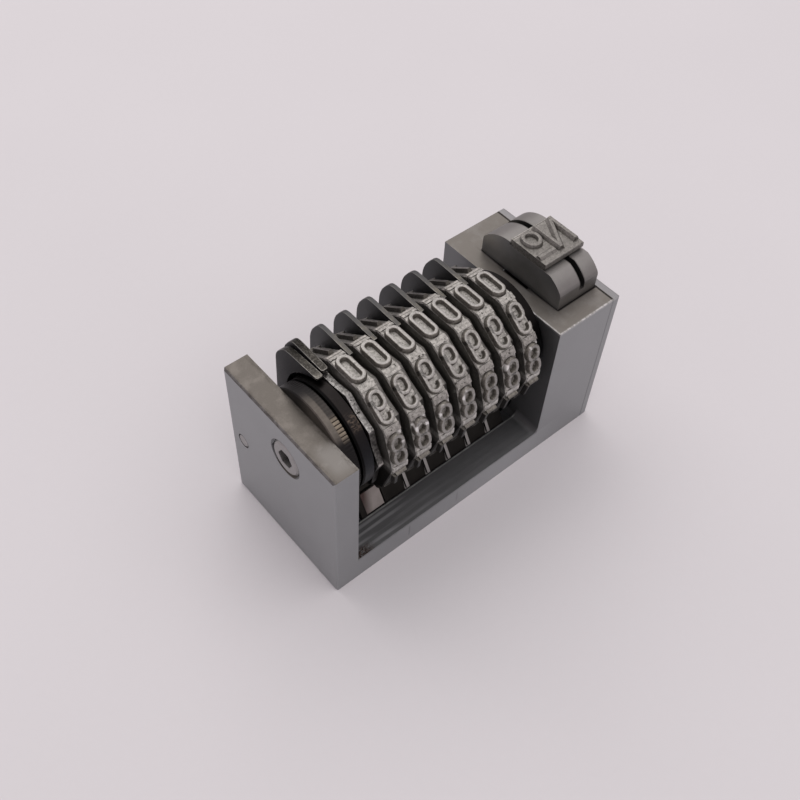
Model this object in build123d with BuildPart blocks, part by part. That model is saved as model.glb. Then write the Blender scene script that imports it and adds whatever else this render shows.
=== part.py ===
"""Numbering machine for letterpress and rotary printing.

Seven number wheels turn on one shaft in a steel frame. Pressing the number-sign
plunger turns the swing about the wheel shaft, and the swing's comb-shaped drive
pawl moves the wheels on by one figure. A bladed pawl behind each wheel holds it.

Millimetres. +X runs along the wheel shaft towards the plunger, +Y to the back
and +Z up. The origin is the centre of the body's bottom face.
"""

from build123d import *
import os
from math import asin, atan2, cos, degrees, hypot, pi, radians, sin, sqrt

os.makedirs("parts", exist_ok=True)

# ---------------------------------------------------------------- driving sizes
# Body
body_depth = 22.0
body_height = 25.0
left_wall = 3.6
base_height = 4.35
block_wall_left = 2.75
block_wall_front = 3.2
block_wall_back = 4.2
pocket_floor = 8.0
cover_thickness = 1.55
rail_thickness = 1.0
rail_height = 3.15
edge_break = 0.25
cover_edge_break = 0.4

# Wheel stack
wheel_count = 7
facet_count = 10
facet_radius = 9.13
rim_width = 2.4
wheel_gap = 1.375
boss_radius = 3.2
digit_height = 4.43
digit_width = 2.03
digit_stroke = 0.42
digit_relief = 0.56
facet_groove = 0.12

# Ratchets
tooth_radius = 8.3
notch_radius = 7.6
ratchet_thickness = 0.86
tooth_angle = 40.0
tooth_run = 20.0

# Shafts
wheel_shaft_radius = 2.0
wheel_shaft_head_radius = 2.55
wheel_shaft_head = 1.2
wheel_shaft_head_gap = 0.25
wheel_shaft_head_edge = 0.3
wheel_shaft_socket = 2.4
socket_depth = 1.6
spigot_radius = 1.5
shaft_below_top = 5.56
shaft_from_front = 9.7
pawl_shaft_radius = 1.0
pawl_shaft_behind = 9.7
pawl_shaft_room = 0.322
pawl_shaft_seat = 2.9
pawl_shaft_edge = 0.15

# Collar, swing and drive pawl
collar_width = 2.0
collar_radius = 7.8
knurl_count = 60
knurl_depth = 0.22
cup_wall = 0.9
cup_floor = 0.8
spiral_wire = 0.3
spiral_step = 0.7
spiral_start = 0.55
cheek_width = 1.7
swing_rod_radius = 1.0
tie_rod_radius = 0.8
swing_pin_radius = 0.6
swing_pin_offset = 2.95
swing_pin_reach = 1.8
washer_thickness = 0.35
comb_thickness = 0.7
comb_height = 3.6
comb_slope = 58.6
comb_from_front = 4.45
comb_sunk = 0.15
rod_along = 3.3
rod_behind = 2.0
tie_rod_behind = 2.73
knuckle_length = 2.4
knuckle_wall = 0.7
arm_radius = 4.2
rod_eye_radius = 2.4
tie_eye_wall = 0.45
trough_lip = 0.15
trough_room = 0.64
trough_back_wall = 4.5
finger_width = 0.5
finger_proud = 0.35
finger_step = 0.1
finger_foot = 0.3
leaf_thickness = 0.2
leaf_height = 3.2

# Blade pawls
blade_thickness = 0.65
units_blade_thickness = 1.0
units_blade_gap = 0.2
blade_hub_radius = 1.6
blade_hub_width = 0.8
blade_rise = 8.71
blade_nose_behind = 2.3
units_nose_lead = 0.6
units_blade_inset = 0.15

# Springs
pawl_spring_wire = 0.4
pawl_spring_turns = 3
pawl_spring_radius = 1.35
coil_gap = 0.03
drive_spring_wire = 0.22
drive_spring_turns = 4
drive_spring_leg = 2.2
drive_spring_hook = 1.4
drive_spring_bend = 0.5
drive_hook_room = 0.25
drive_hook_drop = 0.2
plunger_spring_wire = 0.5
plunger_spring_turns = 8
plunger_spring_radius = 1.9

# Plunger and number sign
plunger_length = 7.1
plunger_stroke = 2.0
plunger_foot_below_shaft = 4.44
plunger_shoulder_rise = 2.47
plunger_crown_rise = 4.9
plunger_flat = 5.1
plunger_saw_cut = 0.8
plunger_saw_from_left = 4.15
plunger_saw_floor_rise = 1.35
relief_width = 0.35
relief_length = 4.6
relief_depth = 3.4
relief_from_front = 8.5
pin_room = 0.55
spring_from_right = 3.0
sign_plate_depth = 6.3
sign_plate_thickness = 0.75
sign_plate_lead = 3.1
sign_seat_rise = 4.4
sign_relief = 0.55
sign_neck = 0.35
sign_neck_inset = 0.4
sign_ring_radius = 1.2
sign_ring_hole = 0.8
sign_ring_from_left = 1.5
sign_ring_from_back = 2.0
sign_line_length = 2.3
sign_line_from_front = 1.3
sign_letter_from_left = 3.75
sign_letter_from_right = 0.5
sign_letter_margin = 0.3
stop_screw_radius = 0.7
stop_screw_below_top = 7.0
stop_screw_inset = 2.0

# Cover screws
cover_screw_radius = 0.8
cover_screw_head_radius = 1.6
cover_screw_length = 5.0
cover_screw_inset = 2.1

# Clearances
side_clearance = 0.2
boss_clearance = 0.14
washer_clearance = 0.05
cheek_clearance = 0.26
running_fit = 0.03
hinge_fit = 0.04
slide_clearance = 0.1
tooth_clearance = 0.12
seat_clearance = 0.02

# ------------------------------------------------------------- places along X
wheel_pitch = rim_width + wheel_gap
boss_reach = wheel_gap - 0.075
stack_length = boss_reach + rim_width + (wheel_count - 1) * wheel_pitch
cage_length = (
    collar_width + side_clearance + cheek_width + boss_clearance + stack_length
    + washer_thickness + 2 * washer_clearance + cheek_width + cheek_clearance
)
block_length = block_wall_left + plunger_length + 2 * slide_clearance
body_length = left_wall + cage_length + block_length + cover_thickness

left_face = -body_length / 2
right_face = body_length / 2
front_face = -body_depth / 2
back_face = body_depth / 2
wall_inner = left_face + left_wall
cover_inner = right_face - cover_thickness
block_inner = cover_inner - block_length
pocket_left = block_inner + block_wall_left
left_cheek_x = wall_inner + collar_width + side_clearance
first_wheel_x = left_cheek_x + cheek_width + boss_clearance + boss_reach + rim_width / 2
last_wheel_x = first_wheel_x + (wheel_count - 1) * wheel_pitch
washer_x = last_wheel_x + rim_width / 2 + washer_clearance
right_cheek_x = washer_x + washer_thickness + washer_clearance
plunger_x = pocket_left + slide_clearance
ratchet_offset = rim_width / 2 + (wheel_gap - blade_thickness) / 2 - 0.02
blade_offset = rim_width / 2 + wheel_gap / 2

# -------------------------------------------------- places across the machine
shaft_y = front_face + shaft_from_front
shaft_z = body_height - shaft_below_top
# the coils on the pawl shaft stay clear of the figures that turn past them
figure_reach = hypot(facet_radius + digit_relief, digit_height / 2)
pawl_shaft_reach = figure_reach + pawl_spring_radius + pawl_spring_wire / 2 + pawl_shaft_room
pawl_y = shaft_y + pawl_shaft_behind
pawl_z = shaft_z - sqrt(pawl_shaft_reach**2 - pawl_shaft_behind**2)
blade_top = shaft_z + blade_rise
pocket_front = front_face + block_wall_front
pocket_back = back_face - block_wall_back
pocket_middle = (pocket_front + pocket_back) / 2
plunger_front = pocket_front + slide_clearance
plunger_back = pocket_back - slide_clearance
plunger_foot = shaft_z - plunger_foot_below_shaft
plunger_shoulder = body_height + plunger_shoulder_rise
plunger_crown = body_height + plunger_crown_rise

# The comb stands in a trough in the base. Its plane leans back by comb_slope.
comb_y = front_face + comb_from_front
comb_z = base_height - comb_sunk
trough_front = comb_y - trough_lip
comb_run = cos(radians(comb_slope))
comb_rise = sin(radians(comb_slope))
rod_y = comb_y + rod_along * comb_run + rod_behind * comb_rise
rod_z = comb_z + rod_along * comb_rise - rod_behind * comb_run
tie_y = rod_y + tie_rod_behind
tie_z = rod_z
foot_radius = hypot(comb_y - shaft_y, comb_z - shaft_z)
trough_floor = shaft_z - foot_radius - trough_room
trough_back = back_face - trough_back_wall

# Half of the swing's turn takes the pin from the middle to the plunger's roof.
swing_half_turn = degrees(asin(plunger_stroke / 2 / swing_pin_offset))
pin_y = shaft_y - swing_pin_offset * cos(radians(swing_half_turn))
pin_z = shaft_z + swing_pin_offset * sin(radians(swing_half_turn))
pin_roof = pin_z + swing_pin_radius + slide_clearance

shaft_plane = Plane(origin=(0, shaft_y, shaft_z), x_dir=(0, 1, 0), z_dir=(1, 0, 0))


def across(x):
    """The plane across the machine at x: its x is +Y and its y is +Z."""
    return Plane(origin=(x, 0, 0), x_dir=(0, 1, 0), z_dir=(1, 0, 0))


def about_shaft(x):
    """The same plane, with its origin on the wheel shaft."""
    return shaft_plane.offset(x)


def outward(x, y, z):
    """A plane at a point of the left face, looking out of it."""
    return Plane(origin=(x, y, z), x_dir=(0, -1, 0), z_dir=(-1, 0, 0))


# ------------------------------------------------------------------------ frame
cover_screw_places = [
    (y, z)
    for y in (front_face + cover_screw_inset, back_face - cover_screw_inset)
    for z in (cover_screw_inset + 1.0, body_height - cover_screw_inset - 1.0)
]
frame_length = cover_inner - left_face
shaft_hole_radius = wheel_shaft_radius + seat_clearance
pawl_hole_radius = pawl_shaft_radius + seat_clearance
pawl_shaft_end = block_inner + pawl_shaft_seat
stop_y = plunger_back - stop_screw_inset
stop_z = body_height - stop_screw_below_top

with BuildPart() as frame:
    with BuildSketch(Plane.XZ.offset(-back_face)) as front_view:
        with Locations(((left_face + cover_inner) / 2, body_height / 2)):
            Rectangle(frame_length, body_height)
        with Locations((wall_inner, base_height)):
            Rectangle(
                cage_length, body_height,
                align=(Align.MIN, Align.MIN), mode=Mode.SUBTRACT,
            )
        fillet(front_view.vertices().sort_by_distance((block_inner, base_height, 0))[0], 1.2)
    extrude(amount=body_depth)
    with BuildSketch(Plane.XY.offset(trough_floor)) as trough:
        with Locations((wall_inner, trough_front)):
            Rectangle(cage_length, trough_back - trough_front, align=(Align.MIN, Align.MIN))
    extrude(amount=base_height, mode=Mode.SUBTRACT)
    with BuildSketch(Plane.XY.offset(base_height)) as rail:
        with Locations((wall_inner, back_face - rail_thickness)):
            Rectangle(cage_length, rail_thickness, align=(Align.MIN, Align.MIN))
    extrude(amount=rail_height)
    with BuildSketch(Plane.XY.offset(pocket_floor)) as pocket:
        with Locations((pocket_left, pocket_front)):
            Rectangle(
                cover_inner - pocket_left, pocket_back - pocket_front,
                align=(Align.MIN, Align.MIN),
            )
    extrude(amount=body_height, mode=Mode.SUBTRACT)
    # narrow relief beside the plunger
    with BuildSketch(Plane.XY.offset(body_height)) as relief:
        with Locations((pocket_left, front_face + relief_from_front)):
            Rectangle(relief_width, relief_length, align=(Align.MAX, Align.MIN))
    extrude(amount=-relief_depth, mode=Mode.SUBTRACT)
    # wheel shaft and pawl shaft
    with Locations(outward(left_face, shaft_y, shaft_z)):
        CounterBoreHole(
            shaft_hole_radius, wheel_shaft_head_radius + wheel_shaft_head_gap,
            wheel_shaft_head, left_wall,
        )
    with Locations(outward(pocket_left, shaft_y, shaft_z)):
        Hole(spigot_radius + seat_clearance, block_wall_left)
    with Locations(outward(left_face, pawl_y, pawl_z)):
        Hole(pawl_hole_radius, left_wall)
    with Locations(outward(block_inner, pawl_y, pawl_z)):
        Hole(pawl_hole_radius, pawl_shaft_end - block_inner + seat_clearance)
    # curved slot that lets the swing pin reach under the plunger
    with BuildSketch(about_shaft(block_inner)) as pin_slot:
        with BuildLine() as pin_path:
            CenterArc(
                (0, 0), swing_pin_offset,
                180 - swing_half_turn - 3, 2 * swing_half_turn + 6,
            )
        SlotArc(pin_path.wire(), 2 * (swing_pin_radius + slide_clearance))
    extrude(amount=block_wall_left, mode=Mode.SUBTRACT)
    # stop screw and cover screws
    with Locations(outward(block_inner, stop_y, stop_z)):
        Hole(stop_screw_radius + seat_clearance, block_wall_left)
    for y, z in cover_screw_places:
        with Locations(Plane(origin=(cover_inner, y, z), z_dir=(1, 0, 0))):
            Hole(cover_screw_radius + seat_clearance, cover_screw_length - cover_thickness + 0.5)
    chamfer(frame.faces().sort_by(Axis.X)[0].outer_wire().edges(), edge_break)
frame.part.label = "frame"
export_step(frame.part, "parts/frame.step")

# ------------------------------------------------------------------- end cover
with BuildPart() as end_cover:
    with BuildSketch(across(cover_inner)) as cover_outline:
        with Locations((0, body_height / 2)):
            Rectangle(body_depth, body_height)
    extrude(amount=cover_thickness)
    chamfer(end_cover.faces().sort_by(Axis.X)[-1].edges(), cover_edge_break)
    for y, z in cover_screw_places:
        with Locations(Plane(origin=(right_face, y, z), z_dir=(1, 0, 0))):
            CounterSinkHole(
                cover_screw_radius + seat_clearance,
                cover_screw_head_radius + seat_clearance,
                cover_thickness,
            )
end_cover.part.label = "end_cover"
export_step(end_cover.part, "parts/end_cover.step")

with BuildPart() as cover_screws:
    for y, z in cover_screw_places:
        with BuildSketch(Plane(origin=(right_face, y, z), z_dir=(1, 0, 0))):
            Circle(cover_screw_head_radius)
        extrude(amount=-(cover_screw_head_radius - cover_screw_radius), taper=45)
        with BuildSketch(Plane(origin=(right_face, y, z), z_dir=(1, 0, 0))):
            Circle(cover_screw_radius)
        extrude(amount=-cover_screw_length)
        with BuildSketch(Plane(origin=(right_face, y, z), z_dir=(1, 0, 0))):
            Rectangle(0.4, 2 * cover_screw_head_radius + 1)
        extrude(amount=-0.4, mode=Mode.SUBTRACT)
cover_screws.part.label = "cover_screws"
export_step(cover_screws.part, "parts/cover_screws.step")

# ---------------------------------------------------------------------- shafts
with BuildPart() as wheel_shaft:
    with BuildSketch(about_shaft(left_face)):
        Circle(wheel_shaft_head_radius)
    extrude(amount=wheel_shaft_head - seat_clearance)
    with BuildSketch(about_shaft(left_face)):
        Circle(wheel_shaft_radius)
    extrude(amount=block_inner - seat_clearance - left_face)
    with BuildSketch(about_shaft(left_face)):
        Circle(spigot_radius)
    extrude(amount=pocket_left - seat_clearance - left_face)
    with BuildSketch(about_shaft(left_face)):
        RegularPolygon(wheel_shaft_socket / 2, 6, major_radius=False)
    extrude(amount=socket_depth, mode=Mode.SUBTRACT)
    chamfer(
        wheel_shaft.faces().sort_by(Axis.X)[0].outer_wire().edges(), wheel_shaft_head_edge,
    )
wheel_shaft.part.label = "wheel_shaft"
export_step(wheel_shaft.part, "parts/wheel_shaft.step")

with BuildPart() as pawl_shaft:
    with BuildSketch(across(left_face)):
        with Locations((pawl_y, pawl_z)):
            Circle(pawl_shaft_radius)
    extrude(amount=pawl_shaft_end - left_face)
    chamfer(pawl_shaft.faces().sort_by(Axis.X)[0].edges(), pawl_shaft_edge)
pawl_shaft.part.label = "pawl_shaft"
export_step(pawl_shaft.part, "parts/pawl_shaft.step")

# ------------------------------------------------ knurled collar and its spring
with BuildPart() as knurled_collar:
    with BuildSketch(about_shaft(wall_inner)):
        Circle(collar_radius)
        with PolarLocations(collar_radius, knurl_count):
            Rectangle(2 * knurl_depth, 2 * knurl_depth, rotation=45, mode=Mode.SUBTRACT)
    extrude(amount=collar_width)
    with BuildSketch(about_shaft(wall_inner + cup_floor)):
        Circle(collar_radius - cup_wall)
        Circle(boss_radius, mode=Mode.SUBTRACT)
    extrude(amount=collar_width, mode=Mode.SUBTRACT)
    with BuildSketch(about_shaft(wall_inner)):
        Circle(wheel_shaft_radius + running_fit)
    extrude(amount=collar_width, mode=Mode.SUBTRACT)
knurled_collar.part.label = "knurled_collar"
export_step(knurled_collar.part, "parts/knurled_collar.step")

with BuildPart() as return_spring:
    with BuildSketch(about_shaft(wall_inner + cup_floor + seat_clearance)):
        with BuildLine() as spiral:
            for half_turn in range(7):
                spiral_radius = boss_radius + spiral_start + half_turn * spiral_step / 2
                CenterArc(
                    (spiral_step / 2 if half_turn % 2 else 0, 0),
                    spiral_radius, 180 * (half_turn % 2), 180,
                )
        SlotArc(spiral.wire(), spiral_wire)
    extrude(amount=collar_width - cup_floor - slide_clearance)
return_spring.part.label = "return_spring"
export_step(return_spring.part, "parts/return_spring.step")

# --------------------------------------------------------------- number wheels
half_width = (digit_width - digit_stroke) / 2
half_height = (digit_height - digit_stroke) / 2
bowl = half_height - half_width
small_bowl = 0.92 * half_width
waist = half_height - 2 * small_bowl
short_ring = 0.54
tail_gap = 0.25


def straight_stroke(x1, y1, x2, y2):
    """A straight stroke, mirrored left to right as type is."""
    length = hypot(x2 - x1, y2 - y1)
    angle = degrees(atan2(y2 - y1, x1 - x2))
    with Locations((-(x1 + x2) / 2, (y1 + y2) / 2)):
        SlotCenterToCenter(length, digit_stroke, rotation=angle)


def curved_stroke(y, radius, start, sweep):
    """A curved stroke about a point of the figure's middle line, mirrored too."""
    with BuildLine() as stroke:
        CenterArc((0, y), radius, 180 - start, -sweep)
    SlotArc(stroke.wire(), digit_stroke)


def loop(y_top, y_bottom, radius):
    """A closed ring, round at both ends."""
    curved_stroke(y_top, radius, 0, 180)
    curved_stroke(y_bottom, radius, 180, 180)
    if y_top > y_bottom:
        straight_stroke(radius, y_top, radius, y_bottom)
        straight_stroke(-radius, y_top, -radius, y_bottom)


def draw_digit(digit):
    """Add the strokes of one figure to the sketch."""
    w = half_width
    h = half_height
    if digit == 0:
        loop(bowl, -bowl, w)
    elif digit == 1:
        straight_stroke(0, -h, 0, h)
        straight_stroke(0, h, -0.7 * w, h - 0.7 * w)
        straight_stroke(-w, -h, w, -h)
    elif digit == 2:
        curved_stroke(bowl, w, 180, -210)
        straight_stroke(0.87 * w, bowl - w / 2, -w, -h)
        straight_stroke(-w, -h, w, -h)
    elif digit == 3:
        curved_stroke(h - small_bowl, small_bowl, 160, -250)
        curved_stroke(waist - w, w, 90, -90)
        straight_stroke(w, waist - w, w, -bowl)
        curved_stroke(-bowl, w, 0, -160)
    elif digit == 4:
        straight_stroke(0.2 * w, h, -w, -0.35 * h)
        straight_stroke(-w, -0.35 * h, w, -0.35 * h)
        straight_stroke(0.4 * w, 0.3 * h, 0.4 * w, -h)
    elif digit == 5:
        straight_stroke(w, h, -0.85 * w, h)
        straight_stroke(-0.85 * w, h, -0.85 * w, 0.15 * h)
        curved_stroke(-0.1 * h, w, 150, -150)
        straight_stroke(w, -0.1 * h, w, -bowl)
        curved_stroke(-bowl, w, 0, -160)
    elif digit == 6:
        loop(short_ring - bowl, -bowl, w)
        straight_stroke(-w, bowl, -w, -bowl)
        curved_stroke(bowl, w, 180, -180)
        straight_stroke(w, bowl, w, bowl - tail_gap)
    elif digit == 7:
        straight_stroke(-w, h, w, h)
        straight_stroke(w, h, -0.3 * w, -h)
    elif digit == 8:
        loop(bowl, w, w)
        loop(-w, -bowl, w)
    elif digit == 9:
        loop(bowl, bowl - short_ring, w)
        straight_stroke(w, bowl, w, -bowl)
        curved_stroke(-bowl, w, 0, -180)
        straight_stroke(-w, -bowl, -w, tail_gap - bowl)


def facet_plane(x, digit):
    """The plane of one facet. 0 is on top and the figures rise to the back."""
    angle = radians(90 + 360 / facet_count * digit)
    out_y = -cos(angle)
    out_z = sin(angle)
    origin = (x, shaft_y + facet_radius * out_y, shaft_z + facet_radius * out_z)
    return Plane(origin=origin, x_dir=(1, 0, 0), z_dir=(0, out_y, out_z))


with BuildPart() as number_wheel:
    with BuildSketch(about_shaft(first_wheel_x - rim_width / 2)):
        RegularPolygon(facet_radius, facet_count, major_radius=False)
        with PolarLocations(facet_radius / cos(radians(180 / facet_count)), facet_count):
            Circle(facet_groove, mode=Mode.SUBTRACT)
    extrude(amount=rim_width)
    with BuildSketch(about_shaft(first_wheel_x)):
        Circle(boss_radius)
    extrude(amount=-rim_width / 2 - boss_reach)
    for digit in range(facet_count):
        with BuildSketch(facet_plane(first_wheel_x, digit).offset(-0.1)):
            draw_digit(digit)
        extrude(amount=digit_relief + 0.1)
    with BuildSketch(about_shaft(first_wheel_x)):
        Circle(wheel_shaft_radius + running_fit)
    extrude(amount=wheel_pitch, both=True, mode=Mode.SUBTRACT)

ratchet_left = first_wheel_x - ratchet_offset - ratchet_thickness

with BuildPart() as ratchet:
    with BuildSketch(about_shaft(ratchet_left)):
        with BuildLine():
            corners = []
            for tooth in range(facet_count):
                tip = radians(180 - tooth_angle - tooth * 360 / facet_count)
                notch = radians(180 - tooth_angle - tooth_run - tooth * 360 / facet_count)
                # one deep notch lets the next finger of the comb drop in
                depth = notch_radius if tooth != 6 else notch_radius - 0.7
                corners.append((tooth_radius * cos(tip), tooth_radius * sin(tip)))
                corners.append((depth * cos(notch), depth * sin(notch)))
            Polyline(*corners, close=True)
        make_face()
        Circle(boss_radius, mode=Mode.SUBTRACT)
    extrude(amount=ratchet_thickness)

for place in range(wheel_count):
    step = Location((place * wheel_pitch, 0, 0))
    placed_wheel = number_wheel.part.moved(step)
    placed_wheel.label = f"number_wheel_{place + 1}"
    export_step(placed_wheel, f"parts/{placed_wheel.label}.step")
    placed_ratchet = ratchet.part.moved(step)
    placed_ratchet.label = f"ratchet_{place + 1}"
    export_step(placed_ratchet, f"parts/{placed_ratchet.label}.step")

# ----------------------------------------------------------------- blade pawls
arc_radius = tooth_radius + tooth_clearance


def on_arc(angle):
    """A point just outside the ratchet teeth, the angle counted up from the front."""
    return (
        shaft_y - arc_radius * cos(radians(angle)),
        shaft_z + arc_radius * sin(radians(angle)),
    )


def draw_blade(nose_behind):
    """Add the outline of one blade pawl, its nose so far behind the wheel shaft."""
    nose_y = shaft_y + nose_behind
    nose_foot = degrees(asin((nose_y - shaft_y) / arc_radius)) + 90
    shoulder = (pawl_y + 0.6, blade_top - 3.15)
    heel = (pawl_y + 1.1, pawl_z + 1.0)
    with BuildLine() as outline:
        Polyline(on_arc(nose_foot), (nose_y, blade_top - 0.1), (pawl_y - 2.6, blade_top))
        Spline(
            (pawl_y - 2.6, blade_top), (pawl_y - 1.3, blade_top - 0.2),
            (pawl_y + 0.1, blade_top - 1.95), shoulder,
            tangents=((1, 0), (0.1, -1)),
        )
        Polyline(shoulder, heel, (pawl_y + 1.1, pawl_z), (pawl_y - 1.3, pawl_z), on_arc(192))
        ThreePointArc(on_arc(192), on_arc(150), on_arc(nose_foot))
    make_face(outline.edges())
    with Locations((pawl_y, pawl_z)):
        Circle(blade_hub_radius)
        Circle(pawl_shaft_radius + hinge_fit, mode=Mode.SUBTRACT)


def draw_hub():
    """Add the ring of a blade's hub to the sketch."""
    with Locations((pawl_y, pawl_z)):
        Circle(blade_hub_radius)
        Circle(pawl_shaft_radius + hinge_fit, mode=Mode.SUBTRACT)


blade_x = first_wheel_x - blade_offset - blade_thickness / 2
units_right_x = first_wheel_x - ratchet_offset - ratchet_thickness - units_blade_inset
units_left_x = units_right_x - units_blade_gap - units_blade_thickness

with BuildPart() as units_pawl_left:
    with BuildSketch(across(units_left_x)):
        draw_blade(blade_nose_behind - units_nose_lead)
    extrude(amount=units_blade_thickness)
    with BuildSketch(across(units_left_x)):
        draw_hub()
    extrude(amount=units_blade_thickness + units_blade_gap)
units_pawl_left.part.label = "units_pawl_left"
export_step(units_pawl_left.part, "parts/units_pawl_left.step")

with BuildPart() as units_pawl_right:
    with BuildSketch(across(units_right_x)):
        draw_blade(blade_nose_behind)
    extrude(amount=units_blade_thickness)
    with BuildSketch(across(units_right_x)):
        draw_hub()
    extrude(amount=units_blade_thickness + blade_hub_width)
units_pawl_right.part.label = "units_pawl_right"
export_step(units_pawl_right.part, "parts/units_pawl_right.step")

with BuildPart() as blade_pawl:
    with BuildSketch(across(blade_x)):
        draw_blade(blade_nose_behind)
    extrude(amount=blade_thickness)
    with BuildSketch(across(blade_x)):
        draw_hub()
    extrude(amount=blade_thickness + blade_hub_width)

for place in range(1, wheel_count):
    placed_blade = blade_pawl.part.moved(Location((place * wheel_pitch, 0, 0)))
    placed_blade.label = f"blade_pawl_{place + 1}"
    export_step(placed_blade, f"parts/{placed_blade.label}.step")

# ----------------------------------------------------------------- pawl springs
# Each is drawn about its own coil: x to the back, y up and z along the shaft.
pawl_coil_pitch = pawl_spring_wire + coil_gap
pawl_coil_length = pawl_coil_pitch * pawl_spring_turns
pawl_coil_start = pawl_spring_wire / 2 + 0.05
pawl_coil_lean = pawl_coil_pitch / (2 * pi * pawl_spring_radius)
pawl_spring_hook = 4.0
pawl_spring_leg = pawl_z - base_height - 1.6


def make_pawl_spring(hook_reach):
    """A torsion spring with a leg down to the rail and a hook behind the blade."""
    hook_x = pawl_coil_length + pawl_spring_hook * pawl_coil_lean
    with BuildPart() as spring:
        with BuildLine() as coil:
            Helix(pawl_coil_pitch, pawl_coil_length, pawl_spring_radius)
        with BuildSketch(Plane(origin=coil.line @ 0, z_dir=coil.line % 0)):
            Circle(pawl_spring_wire / 2)
        sweep(path=coil.line)
        with BuildSketch(Plane(origin=coil.line @ 0, z_dir=coil.line % 0)):
            Circle(pawl_spring_wire / 2)
        extrude(amount=-pawl_spring_leg)
        with BuildLine(Plane.YZ.offset(pawl_spring_radius)) as hook:
            FilletPolyline(
                (0, pawl_coil_length), (pawl_spring_hook, hook_x),
                (pawl_spring_hook, hook_x - hook_reach), radius=0.4,
            )
        with BuildSketch(Plane(origin=coil.line @ 1, z_dir=coil.line % 1)):
            Circle(pawl_spring_wire / 2)
        sweep(path=hook.line)
    return spring.part


def on_pawl_shaft(x):
    """The place of a coil that starts at x on the pawl shaft."""
    return Plane(origin=(x, pawl_y, pawl_z), x_dir=(0, 1, 0), z_dir=(1, 0, 0)).location


hub_reach = blade_hub_width + pawl_coil_start

units_spring = make_pawl_spring(pawl_coil_length + hub_reach + units_blade_thickness)
placed_spring = units_spring.moved(
    on_pawl_shaft(units_right_x + units_blade_thickness + hub_reach)
)
placed_spring.label = "pawl_spring_1"
export_step(placed_spring, "parts/pawl_spring_1.step")

blade_spring = make_pawl_spring(pawl_coil_length + hub_reach + blade_thickness)
for place in range(1, wheel_count):
    placed_spring = blade_spring.moved(
        on_pawl_shaft(blade_x + place * wheel_pitch + blade_thickness + hub_reach)
    )
    placed_spring.label = f"pawl_spring_{place + 1}"
    export_step(placed_spring, f"parts/{placed_spring.label}.step")

# ----------------------------------------------------------------------- swing
tie_eye_radius = tie_rod_radius + tie_eye_wall


def make_cheek(x):
    """One side of the swing: a disc on the wheel shaft with an arm to the rods."""
    shaft_place = (shaft_y, shaft_z)
    rod_place = (rod_y, rod_z)
    tie_place = (tie_y, tie_z)
    with BuildPart() as cheek:
        with BuildSketch(across(x)):
            with Locations(shaft_place):
                Circle(collar_radius)
        extrude(amount=cheek_width)
        with BuildSketch(across(x)):
            with Locations(shaft_place):
                Circle(arm_radius)
            with Locations(rod_place):
                Circle(rod_eye_radius)
            make_hull()
        extrude(amount=cheek_width)
        with BuildSketch(across(x)):
            with Locations(rod_place):
                Circle(rod_eye_radius)
            with Locations(tie_place):
                Circle(tie_eye_radius)
            make_hull()
        extrude(amount=cheek_width)
        with BuildSketch(across(x)):
            with Locations(shaft_place):
                Circle(wheel_shaft_radius + running_fit)
            with Locations(rod_place):
                Circle(swing_rod_radius + seat_clearance)
            with Locations(tie_place):
                Circle(tie_rod_radius + seat_clearance)
        extrude(amount=cheek_width, mode=Mode.SUBTRACT)
    return cheek.part


left_cheek = make_cheek(left_cheek_x)
left_cheek.label = "swing_cheek_left"
export_step(left_cheek, "parts/swing_cheek_left.step")

with BuildPart() as right_cheek:
    add(make_cheek(right_cheek_x))
    with BuildSketch(across(right_cheek_x)):
        with Locations((pin_y, pin_z)):
            Circle(swing_pin_radius)
    extrude(amount=cheek_width, mode=Mode.SUBTRACT)
right_cheek.part.label = "swing_cheek_right"
export_step(right_cheek.part, "parts/swing_cheek_right.step")

swing_length = right_cheek_x + cheek_width - left_cheek_x

with BuildPart() as swing_rod:
    with BuildSketch(across(left_cheek_x)):
        with Locations((rod_y, rod_z)):
            Circle(swing_rod_radius)
    extrude(amount=swing_length)
swing_rod.part.label = "swing_rod"
export_step(swing_rod.part, "parts/swing_rod.step")

with BuildPart() as swing_tie_rod:
    with BuildSketch(across(left_cheek_x)):
        with Locations((tie_y, tie_z)):
            Circle(tie_rod_radius)
    extrude(amount=swing_length)
swing_tie_rod.part.label = "swing_tie_rod"
export_step(swing_tie_rod.part, "parts/swing_tie_rod.step")

with BuildPart() as swing_pin:
    with BuildSketch(across(right_cheek_x + seat_clearance)):
        with Locations((pin_y, pin_z)):
            Circle(swing_pin_radius)
    extrude(amount=plunger_x + swing_pin_reach - right_cheek_x)
swing_pin.part.label = "swing_pin"
export_step(swing_pin.part, "parts/swing_pin.step")

with BuildPart() as thrust_washer:
    with BuildSketch(about_shaft(washer_x)):
        Circle(boss_radius)
        Circle(wheel_shaft_radius + running_fit, mode=Mode.SUBTRACT)
    extrude(amount=washer_thickness)
thrust_washer.part.label = "thrust_washer"
export_step(thrust_washer.part, "parts/thrust_washer.step")

# ------------------------------------------------------------------ drive pawl
comb_right = last_wheel_x + rim_width / 2
comb_plane = Plane(
    origin=(0, comb_y, comb_z), x_dir=(1, 0, 0), z_dir=(0, -comb_rise, comb_run),
)
# the comb's plane passes behind the shaft by comb_offset, and the fingers' front
# faces stop just outside the ratchet teeth
comb_offset = (shaft_z - comb_z) * comb_run - (shaft_y - comb_y) * comb_rise
finger_reach = (shaft_z - comb_z) * comb_rise + (shaft_y - comb_y) * comb_run
finger_length = finger_reach - sqrt(
    (tooth_radius + tooth_clearance) ** 2 - (comb_offset - finger_proud) ** 2
)

finger_places = [first_wheel_x + place * wheel_pitch - blade_offset for place in range(wheel_count)]
finger_places[0] = ratchet_left + ratchet_thickness / 2
knuckle_places = [first_wheel_x, last_wheel_x - 2 * wheel_pitch, last_wheel_x - 0.2]

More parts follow.
